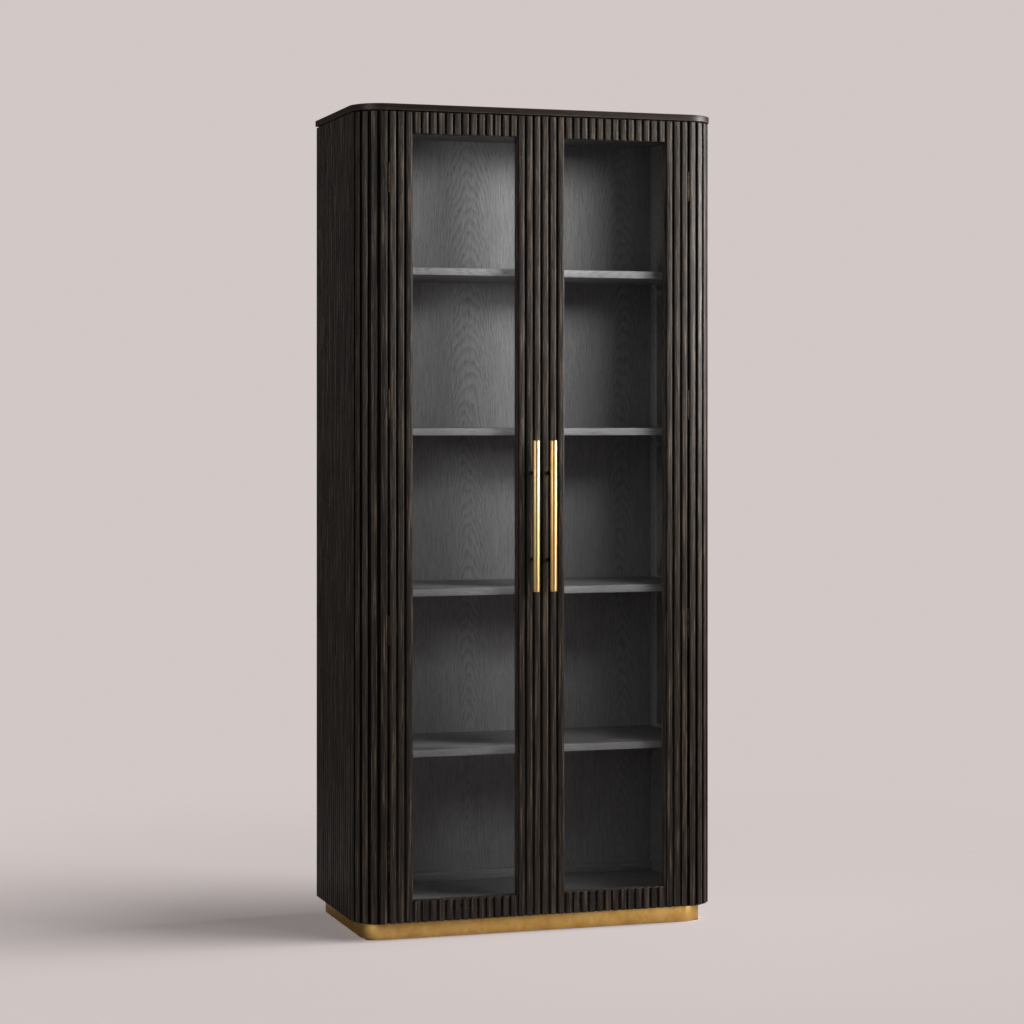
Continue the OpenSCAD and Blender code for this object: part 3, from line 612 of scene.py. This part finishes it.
oak_reeds = outside_finish("oak_brushed_reeds", "Z", by_piece=True)
side_pitch = (side_high.y - side_low.y) / SIDE_REEDS
reed_height = reeds_high.z - reeds_low.z
corner_r = -side_low.x - corner_x
corner_width = math.pi * corner_r / 2 / CORNER_REEDS - REED_GROOVE
corner_flat = math.sqrt(corner_r ** 2 - corner_width ** 2 / 4)
corner_step = math.pi / 2 / CORNER_REEDS
for side, label in ((-1, "left"), (1, "right")):
    side_row = {"Count": SIDE_REEDS, "Width": side_pitch - REED_GROOVE, "Height": reed_height,
                "Start": (side * -side_low.x, corner_y + side_pitch / 2, reeds_low.z),
                "Step": (0, side_pitch, 0), "Turn": side * math.pi / 2, "Rings": LONG_RINGS}
    corner_row = {"Count": CORNER_REEDS, "Width": corner_width, "Height": reed_height,
                  "Start": (side * corner_x, corner_y, reeds_low.z),
                  "Turn": side * corner_step / 2, "Fan": side * corner_step,
                  "Radius": corner_flat, "Rings": LONG_RINGS}
    reeding(f"{label}_case_reeding", (side_row, corner_row), oak_reeds, "case",
            f"{label}_case_reeds")

# ---- Top slab ----
# One solid oak board with two rounded front corners, screwed down on the case. It is
# stained like the reeds but planed smooth, and its arrises are rubbed a little.

SLAB_EASE = 0.0015
SLAB_DARK = (0.012, 0.0085, 0.0065, 1)
SLAB_PALE = (0.040, 0.028, 0.022, 1)
SLAB_RUBBED = (0.10, 0.076, 0.06, 1)

slab_finish, tree, shader = new_finish("oak_slab")
figure = grain_of(tree, timber_place(tree, "X"), 210.0, 30.0, 900.0, 0.58, shift=4.1)
share = spread_of(tree, figure.outputs["Fibre"], 0.3, 0.7)
arris = put(tree, "ShaderNodeAttribute", attribute_name="arris").outputs["Fac"]
colour = blend_of(tree, share, SLAB_DARK, SLAB_PALE)
colour = blend_of(tree, sum_of(tree, "MULTIPLY", arris, share), colour, SLAB_RUBBED)
tree.links.new(blend_of(tree, figure.outputs["Pores"], colour, SLAB_DARK), shader.inputs["Base Color"])
tree.links.new(spread_of(tree, share, 0.0, 1.0, 0.48, 0.38), shader.inputs["Roughness"])
tree.links.new(relief(tree, share, 0.08 * MM), shader.inputs["Normal"])
shader.inputs["Specular IOR Level"].default_value = OAK_SHEEN
eased_piece("top_slab", "top_slab_planed", SLAB_EASE, slab_finish, "case", "oak_dark", steps=3)

# ---- Back rails and their screws ----
# Two softwood rails behind the back panel take the screws into the deck and the
# sub-top, and the upper one the wall screws. The screws are steel, countersunk, with
# a cross recess.

HEAD_SIDES = 32
SHANK_SIDES = 20
CROSS_W = 0.14
CROSS_L = 0.62

for node in ("hanging_rail", "lower_back_rail"):
    eased_piece(node, f"{node}_planed", PINE_EASE, pine_along_x, "case", "softwood")

steel_finish = metal_finish("steel_zinc", (0.62, 0.62, 0.60, 1), (0.44, 0.43, 0.41, 1), (0.3, 0.45),
                            Lines_per_metre=3000.0, Stretch=3.0, Blots_per_metre=300.0)

# Screws with a cross recess, one on each point of the host's mesh, pointing along
# the point's own way
cross_screw, given, result = shape_group("cross_screw", {
    "Geometry": "Geometry", "Finish": "Material", "Head": 0.008, "Head height": 0.0025,
    "Shank": 0.004, "Length": 0.04, "Recess": 0.0012})
radius = sum_of(cross_screw, "MULTIPLY", given["Head"], 0.5)
head = put(cross_screw, "GeometryNodeMeshCone",
           {"Vertices": HEAD_SIDES, "Radius Bottom": radius,
            "Radius Top": sum_of(cross_screw, "MULTIPLY", radius, 0.9),
            "Depth": given["Head height"]}, fill_type="NGON").outputs[0]
head = put(cross_screw, "GeometryNodeTransform",
           {"Geometry": head, "Translation": put(cross_screw, "ShaderNodeCombineXYZ", {
               "Z": sum_of(cross_screw, "MULTIPLY", given["Head height"], -1.0)}).outputs[0]})
arm_w = sum_of(cross_screw, "MULTIPLY", given["Head"], CROSS_W)
arm_l = sum_of(cross_screw, "MULTIPLY", given["Head"], CROSS_L)
arm_d = sum_of(cross_screw, "MULTIPLY", given["Recess"], 2.0)
cross = cross_screw.nodes.new("GeometryNodeJoinGeometry")
for long_way in ("X", "Y"):
    across_way = "Y" if long_way == "X" else "X"
    size = put(cross_screw, "ShaderNodeCombineXYZ", {long_way: arm_l, across_way: arm_w, "Z": arm_d})
    arm = put(cross_screw, "GeometryNodeMeshCube", {"Size": size.outputs[0]})
    cross_screw.links.new(arm.outputs[0], cross.inputs[0])
head = put(cross_screw, "GeometryNodeMeshBoolean",
           {"Mesh 1": head.outputs[0], "Mesh 2": cross.outputs[0], "Self Intersection": True},
           operation="DIFFERENCE", solver="EXACT").outputs[0]
shank_l = sum_of(cross_screw, "SUBTRACT", given["Length"], given["Head height"])
shank = put(cross_screw, "GeometryNodeMeshCylinder",
            {"Vertices": SHANK_SIDES, "Radius": sum_of(cross_screw, "MULTIPLY", given["Shank"], 0.5),
             "Depth": shank_l}).outputs[0]
sunk = sum_of(cross_screw, "MULTIPLY_ADD", shank_l, -0.5,
              sum_of(cross_screw, "MULTIPLY", given["Head height"], -1.0))
shank = put(cross_screw, "GeometryNodeTransform",
            {"Geometry": shank,
             "Translation": put(cross_screw, "ShaderNodeCombineXYZ", {"Z": sunk}).outputs[0]})
screw = cross_screw.nodes.new("GeometryNodeJoinGeometry")
for part in (head, shank.outputs[0]):
    cross_screw.links.new(part, screw.inputs[0])
way = put(cross_screw, "GeometryNodeInputNamedAttribute", {"Name": "way"}, data_type="FLOAT_VECTOR")
pointed = put(cross_screw, "FunctionNodeAlignRotationToVector",
              {"Vector": way.outputs[0]}, axis="Z").outputs[0]
placed = put(cross_screw, "GeometryNodeInstanceOnPoints",
             {"Points": given["Geometry"], "Instance": screw.outputs[0], "Rotation": pointed})
whole = put(cross_screw, "GeometryNodeRealizeInstances", {"Geometry": placed.outputs[0]}).outputs[0]
whole = put(cross_screw, "GeometryNodeSetMaterial", {"Geometry": whole, "Material": given["Finish"]})
cross_screw.links.new(whole.outputs[0], result.inputs["Geometry"])


def solids_of(node):
    """The corners of each separate solid of a CAD node, as lists of points."""
    mesh, shape = merged_copy(node, f"{node}_solids")
    seen, solids = set(), []
    for first in shape.verts:
        if first in seen:
            continue
        reached, found = [first], []
        seen.add(first)
        while reached:
            corner = reached.pop()
            found.append(corner.co.copy())
            for edge in corner.link_edges:
                other = edge.other_vert(corner)
                if other not in seen:
                    seen.add(other)
                    reached.append(other)
        solids.append(found)
    shape.free()
    bpy.data.meshes.remove(mesh)
    return solids


def screws(node, name, finish, body, slot, head_height, recess, shank):
    """Screws where a CAD node has them, each with its head at the stouter end."""
    heads, ways, girth, length = [], [], 0.0, 0.0
    for corners in solids_of(node):
        low = Vector([min(c[i] for c in corners) for i in range(3)])
        high = Vector([max(c[i] for c in corners) for i in range(3)])
        long_way = max(range(3), key=lambda i: high[i] - low[i])
        across = (long_way + 1) % 3
        middle = (low + high) / 2

        def reach(end):
            return max(abs(c[across] - middle[across]) for c in corners
                       if abs(c[long_way] - end) < 0.01 * MM)

        top = high if reach(high[long_way]) > reach(low[long_way]) else low
        at = middle.copy()
        at[long_way] = top[long_way]
        way = Vector((0, 0, 0))
        way[long_way] = 1.0 if top is high else -1.0
        heads.append(at)
        ways.append(way)
        girth = high[across] - low[across]
        length = high[long_way] - low[long_way]
    sizes = {"Finish": finish, "Head": girth, "Head height": head_height, "Shank": shank,
             "Length": length, "Recess": recess}
    return grown_mesh(name, cross_screw, sizes, body, slot, (node,), points=heads, ways=ways)


screws("back_screws", "back_screws_crossed", steel_finish, "case", "steel",
       head_height=2.5 * MM, recess=1.4 * MM, shank=4 * MM)

# ---- Shelves and their pins ----
# Four loose veneered boards with a solid oak lipping on the front edge. Each stands on
# four steel pins, plugged into the rows of holes in the side panels.

SHELF_EASE = 0.0009

shelf_finish = inside_finish("oak_shelf", "X", 0.30, shift=5.1, middle=0.02, leaf=0.34)
for node in ("shelf_1", "shelf_2", "shelf_3", "shelf_4"):
    eased_piece(node, f"{node}_lipped", SHELF_EASE, shelf_finish, "case", "oak_inside")
eased_piece("shelf_pins", "shelf_pins_plated", 0.5 * MM, steel_finish, "case", "steel",
            shortest=2.5 * MM)

# ---- Door frames ----
# Stiles the full height of the door with the rails tenoned between them, of solid oak,
# rebated at the back for the glass. The outer stile carries the hinges. Their front
# faces, seen only between the reeds, are painted almost black as shade.

DOOR_EASE = 0.0006

oak_along_z = outside_finish("oak_brushed_upright", "Z")
oak_along_x = outside_finish("oak_brushed_level", "X", shift=1.9)
for side in ("left", "right"):
    body = f"{side}_door"
    for part, finish in (("outer_stile", oak_along_z), ("meeting_stile", oak_along_z),
                         ("top_rail", oak_along_x), ("bottom_rail", oak_along_x)):
        eased_piece(f"{side}_{part}", f"{side}_{part}_shaped", DOOR_EASE, finish, body, "oak_dark",
                    shortest=4 * MM, outer=(oak_painted_shade, Vector((0, -1, 0))))

# ---- Reeds of the doors ----
# The same reeds as on the case, three on each stile and thirteen short ones on each
# rail, glued to the frame. Their ends line up with the edge of the glass opening.

DOOR_REEDS = 19

for side, label in ((-1, "left"), (1, "right")):
    low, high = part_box(f"{label}_door_reeds")
    foot_rail_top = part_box(f"{label}_bottom_rail")[1].z
    head_rail_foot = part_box(f"{label}_top_rail")[0].z
    door_pitch = corner_x / DOOR_REEDS
    face_y = low.y + reed_depth

    def row(first, count, foot, height, rings):
        """Reeds counted from the hinge side towards the middle."""
        return {"Count": count, "Width": door_pitch - REED_GROOVE, "Height": height,
                "Start": (side * (corner_x - (first + 0.5) * door_pitch), face_y, foot),
                "Step": (-side * door_pitch, 0, 0), "Rings": rings}

    between = DOOR_REEDS - 2 * STILE_REEDS
    rows = (row(0, STILE_REEDS, low.z, high.z - low.z, LONG_RINGS),
            row(DOOR_REEDS - STILE_REEDS, STILE_REEDS, low.z, high.z - low.z, LONG_RINGS),
            row(STILE_REEDS, between, low.z, foot_rail_top - low.z, SHORT_RINGS),
            row(STILE_REEDS, between, head_rail_foot, high.z - head_rail_foot, SHORT_RINGS))
    reeding(f"{label}_door_reeding", rows, oak_reeds, f"{label}_door", f"{label}_door_reeds")

# ---- Glass and its beads ----
# A pane of clear 4 mm float glass in each door, held in the rebate from behind by
# slim pinned beads of stained oak.

BEAD_EASE = 0.0008
GLASS_INDEX = 1.1
GLASS_TINT = (0.93, 0.95, 0.95, 1)
GLASS_CLEAR = (0.90, 0.92, 0.92, 1)

# The index is lower than that of real glass, so that no lamp stands in the pane
glass_finish, tree, shader = new_finish("float_glass")
place = put(tree, "ShaderNodeTexCoord").outputs["Object"]
smear = put(tree, "ShaderNodeTexNoise", {"Vector": place, "Scale": 5.0, "Detail": 4.0}).outputs["Fac"]
shader.inputs["Base Color"].default_value = GLASS_TINT
shader.inputs["Transmission Weight"].default_value = 1.0
shader.inputs["IOR"].default_value = GLASS_INDEX
tree.links.new(spread_of(tree, smear, 0.4, 0.7, 0.0, 0.035), shader.inputs["Roughness"])
wave = put(tree, "ShaderNodeTexNoise", {"Vector": place, "Scale": 1.6}).outputs["Fac"]
tree.links.new(relief(tree, wave, 0.3 * MM, 0.2), shader.inputs["Normal"])
clear = put(tree, "ShaderNodeBsdfTransparent", {"Color": GLASS_CLEAR}).outputs[0]
lit = put(tree, "ShaderNodeLightPath").outputs
through = sum_of(tree, "MAXIMUM", lit["Is Shadow Ray"], lit["Is Diffuse Ray"])
pane = put(tree, "ShaderNodeMixShader", {0: through, 1: shader.outputs[0], 2: clear}).outputs[0]
tree.links.new(pane, tree.nodes["Material Output"].inputs["Surface"])


def refinish(node, finish):
    """Gives a CAD piece that stays as it is its own finish."""
    mesh = frame["nodes"][node].data
    mesh.materials.clear()
    mesh.materials.append(finish)


for side in ("left", "right"):
    refinish(f"{side}_glass", glass_finish)
    eased_piece(f"{side}_glazing_beads", f"{side}_beads_mitred", BEAD_EASE, oak_along_z,
                f"{side}_door", "oak_dark")

# ---- Hinges ----
# Four slim butt hinges a door, of steel blackened to a dark bronze, let in between
# the corner post and the outer stile. Each leaf has three countersunk screws.

HINGE_EASE = 0.00015

bronze_finish = metal_finish("bronze_dark", (0.055, 0.040, 0.028, 1), (0.020, 0.015, 0.011, 1),
                             (0.34, 0.5), Lines_per_metre=2000.0, Stretch=8.0, Blots_per_metre=90.0)
for node, body in (("case_hinge_leaves", "case"), ("left_hinge_leaves", "left_door"),
                   ("right_hinge_leaves", "right_door")):
    eased_piece(node, f"{node}_blackened", HINGE_EASE, bronze_finish, body, "bronze",
                shortest=2.5 * MM)
refinish("hinge_pins", steel_finish)
for node, body in (("case_hinge_screws", "case"), ("left_hinge_screws", "left_door"),
                   ("right_hinge_screws", "right_door")):
    screws(node, f"{node}_crossed", bronze_finish, body, "bronze",
           head_height=0.7 * MM, recess=0.5 * MM, shank=3 * MM)

# ---- Pulls ----
# A solid brass bar on each door, turned and satin lacquered, its two ends lightly
# rounded. Two dark bronze posts hold it, each with a screw from behind the stile.

BAR_END = 0.0010
BAR_SIDES = 64

brass_turned = metal_finish("brass_turned", (1.0, 0.71, 0.33, 1), (0.88, 0.57, 0.24, 1),
                            (0.32, 0.38), Lines_per_metre=2600.0, Stretch=1.0,
                            Blots_per_metre=14.0)

# A round bar along Z with rounded ends
turned_bar, given, result = shape_group("turned_bar", {
    "Geometry": "Geometry", "Finish": "Material", "Diameter": 0.018, "Length": 0.39,
    "End": BAR_END, "End steps": 5})
radius = sum_of(turned_bar, "MULTIPLY", given["Diameter"], 0.5)
circle = put(turned_bar, "GeometryNodeCurvePrimitiveCircle",
             {"Resolution": BAR_SIDES, "Radius": radius})
steps = sum_of(turned_bar, "MULTIPLY", given["End steps"], 2.0)
number = put(turned_bar, "GeometryNodeInputIndex").outputs[0]
axis = put(turned_bar, "GeometryNodeMeshLine", {"Count": steps, "Offset": (0, 0, 1)}).outputs[0]
last = sum_of(turned_bar, "SUBTRACT", steps, 1.0)
from_end = sum_of(turned_bar, "MINIMUM", number, sum_of(turned_bar, "SUBTRACT", last, number))
turn_share = sum_of(turned_bar, "DIVIDE", from_end,
                    sum_of(turned_bar, "SUBTRACT", given["End steps"], 1.0))
angle = sum_of(turned_bar, "MULTIPLY", turn_share, math.pi / 2)
rise = sum_of(turned_bar, "MULTIPLY", given["End"],
              sum_of(turned_bar, "SUBTRACT", 1.0, sum_of(turned_bar, "COSINE", angle)))
inset = sum_of(turned_bar, "MULTIPLY", given["End"],
               sum_of(turned_bar, "SUBTRACT", 1.0, sum_of(turned_bar, "SINE", angle)))
upper = sum_of(turned_bar, "GREATER_THAN", number, sum_of(turned_bar, "MULTIPLY", last, 0.5))
half = sum_of(turned_bar, "MULTIPLY", given["Length"], 0.5)
height = sum_of(turned_bar, "SUBTRACT", half, rise)
height = sum_of(turned_bar, "MULTIPLY", height,
                sum_of(turned_bar, "MULTIPLY_ADD", upper, 2.0, -1.0))
stand = put(turned_bar, "ShaderNodeCombineXYZ", {"Z": height}).outputs[0]
axis = put(turned_bar, "GeometryNodeSetPosition", {"Geometry": axis, "Position": stand})
axis = put(turned_bar, "GeometryNodeMeshToCurve", {"Mesh": axis.outputs[0]}).outputs[0]
girth = sum_of(turned_bar, "DIVIDE", sum_of(turned_bar, "SUBTRACT", radius, inset), radius)
bar = put(turned_bar, "GeometryNodeCurveToMesh",
          {"Curve": axis, "Profile Curve": circle.outputs[0], "Scale": girth, "Fill Caps": True})
placed = put(turned_bar, "GeometryNodeInstanceOnPoints",
             {"Points": given["Geometry"], "Instance": bar.outputs[0]})
whole = put(turned_bar, "GeometryNodeRealizeInstances", {"Geometry": placed.outputs[0]}).outputs[0]
whole = put(turned_bar, "GeometryNodeSetMaterial", {"Geometry": whole, "Material": given["Finish"]})
turned_bar.links.new(whole.outputs[0], result.inputs["Geometry"])

for side in ("left", "right"):
    body = f"{side}_door"
    low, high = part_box(f"{side}_pull_bar")
    sizes = {"Finish": brass_turned, "Diameter": high.x - low.x, "Length": high.z - low.z}
    grown_mesh(f"{side}_pull_turned", turned_bar, sizes, body, "brass", (f"{side}_pull_bar",),
               points=[(low + high) / 2])
    refinish(f"{side}_pull_posts", bronze_finish)
    screws(f"{side}_pull_screws", f"{side}_pull_screws_crossed", steel_finish, body, "steel",
           head_height=2.5 * MM, recess=1.5 * MM, shank=4 * MM)

# ---- Catches, strikes and bumpers ----
# A magnetic catch behind the head and foot of each door, in a moulded case, with a
# steel strike plate on the stile. Rubber dots on the case quiet the doors.

CATCH_EASE = 0.0010

rubber_finish = moulded_finish("bumper_rubber", (0.018, 0.017, 0.016, 1),
                               (0.045, 0.043, 0.04, 1), (0.7, 0.85), 1500.0, 2.0, 0.04 * MM)
eased_piece("magnetic_catches", "catches_moulded", CATCH_EASE, glide_finish, "case", "glide_plastic")
eased_piece("door_bumpers", "bumpers_moulded", 0.5 * MM, rubber_finish, "case", "bumper_rubber",
            shortest=0.2 * MM)
for side in ("left", "right"):
    eased_piece(f"{side}_strike_plates", f"{side}_strikes_pressed", 0.3 * MM, steel_finish,
                f"{side}_door", "steel", shortest=0.2 * MM)

# ---- Floor and light ----
# A pale seamless floor that fades out into the same pale backdrop. Most soft boxes stand
# on the right and are aimed at the upper half, so that the light falls off towards the
# floor. Boards inside, brass and floor each have a light that nothing else takes.

STUDIO_PALE = (0.645, 0.578, 0.565, 1)
AMBIENT_GREY = (0.62, 0.60, 0.60, 1)
AMBIENT = 0.10
FLOOR_REACH = 14.0
FADE_FROM = 0.9
FADE_TO = 2.6
FLOOR_WEIGHT = 0.7

sheet = bmesh.new()
bmesh.ops.create_circle(sheet, cap_ends=True, segments=96, radius=FLOOR_REACH)
floor_mesh = bpy.data.meshes.new("studio_floor")
sheet.to_mesh(floor_mesh)
sheet.free()
floor = bpy.data.objects.new("studio_floor", floor_mesh)
bpy.context.scene.collection.objects.link(floor)
floor_finish, tree, shader = new_finish("studio_floor")
place = put(tree, "ShaderNodeTexCoord").outputs["Object"]
shader.inputs["Base Color"].default_value = STUDIO_PALE
shader.inputs["Roughness"].default_value = 0.9
shader.inputs["Specular IOR Level"].default_value = 0.1
far = put(tree, "ShaderNodeVectorMath", {0: place}, operation="LENGTH").outputs["Value"]
tree.links.new(spread_of(tree, far, FADE_FROM, FADE_TO, FLOOR_WEIGHT, 0.0), shader.inputs["Alpha"])
floor_mesh.materials.append(floor_finish)

world = bpy.data.worlds.new("studio")
bpy.context.scene.world = world
world.use_nodes = True
tree = world.node_tree
backdrop = tree.nodes["Background"]
backdrop.inputs["Color"].default_value = STUDIO_PALE
backdrop.inputs["Strength"].default_value = 1.0
dim = put(tree, "ShaderNodeBackground", {"Color": AMBIENT_GREY, "Strength": AMBIENT})
sight = put(tree, "ShaderNodeLightPath").outputs
seen = sum_of(tree, "MAXIMUM", sight["Is Camera Ray"], sight["Is Transmission Ray"])
both = put(tree, "ShaderNodeMixShader", {0: seen, 1: dim.outputs[0], 2: backdrop.outputs[0]})
tree.links.new(both.outputs[0], tree.nodes["World Output"].inputs["Surface"])


def soft_light(name, at, aim, wide, high, watts, spread=180):
    """A soft box, aimed at a point, that neither the camera nor a pane shows. A spread
    under 180 degrees makes its light fall off away from the aim."""
    lamp = bpy.data.lights.new(name, "AREA")
    lamp.shape = "RECTANGLE"
    lamp.size = wide
    lamp.size_y = high
    lamp.energy = watts
    lamp.spread = math.radians(spread)
    hung = bpy.data.objects.new(name, lamp)
    hung.location = at
    hung.rotation_euler = (Vector(aim) - Vector(at)).to_track_quat("-Z", "Y").to_euler()
    hung.visible_camera = False
    hung.visible_transmission = False
    bpy.context.scene.collection.objects.link(hung)
    return hung


def light_only(lamp, name, *pieces):
    """Lets a lamp light those pieces alone."""
    lit = bpy.data.collections.new(name)
    for piece in pieces:
        lit.objects.link(piece)
    lamp.light_linking.receiver_collection = lit
    return lit


soft_light("graze_right", at=(3.4, -0.6, 2.6), aim=(0.2, -0.1, 1.2), wide=1.4, high=2.0, watts=25)
fill = soft_light("fill_left", at=(-4.0, -2.6, 2.2), aim=(0, 0, 1.2), wide=1.6, high=2.6, watts=60)
key = soft_light("key_right", at=(1.5, -2.5, 1.95), aim=(-0.1, 0, 1.85), wide=0.8, high=0.9,
                 watts=15, spread=100)
key.visible_glossy = False
strip = soft_light("strip_right", at=(1.9, -0.75, 1.85), aim=(0.45, -0.15, 1.3), wide=0.4, high=1.2,
                   watts=58)
beside = light_only(strip, "all_but_floor", floor)
beside.collection_objects[0].light_linking.link_state = "EXCLUDE"
fill.light_linking.receiver_collection = beside

# A box high in front for the boards inside, and one low on the right for the brass
pieces = bpy.context.scene.objects
boards = [piece for piece in pieces if piece.name.endswith(("_veneered", "_lipped"))]
metal = [piece for piece in pieces if piece.name.endswith("_pull_turned") or "_brass_" in piece.name]
above = soft_light("box_inside", at=(0.7, -2.4, 2.35), aim=(0.3, 0, 2.05), wide=1.0, high=0.6,
                   watts=9.5, spread=80)
light_only(above, "inside", *boards)
low_box = soft_light("box_brass", at=(1.9, -1.9, 1.1), aim=(0, -0.2, 0.8), wide=0.7, high=1.8, watts=25)
light_only(low_box, "brass", *metal)

# A wide, soft sun for the floor, so that the shadow lies to the left
sun = bpy.data.lights.new("sun_floor", "SUN")
sun.energy = 4.7
sun.angle = math.radians(40)
high_sun = bpy.data.objects.new("sun_floor", sun)
high_sun.rotation_euler = Vector((1.0, -0.30, 0.62)).to_track_quat("Z", "Y").to_euler()
bpy.context.scene.collection.objects.link(high_sun)
light_only(high_sun, "floor_alone", floor)

# ---- Camera ----
# A long lens at about chest height, held level and shifted down a little, standing to
# the left of the cabinet.

camera = bpy.data.cameras.new("camera")
camera.lens = 92.38
camera.sensor_width = 36.0
camera.shift_y = -0.0894
stand = bpy.data.objects.new("camera", camera)
stand.location = (-2.164, -6.661, 1.327)
stand.rotation_euler = (math.radians(90), 0, math.radians(-17.888))
bpy.context.scene.collection.objects.link(stand)
bpy.context.scene.camera = stand
bpy.context.scene.view_settings.view_transform = "Standard"
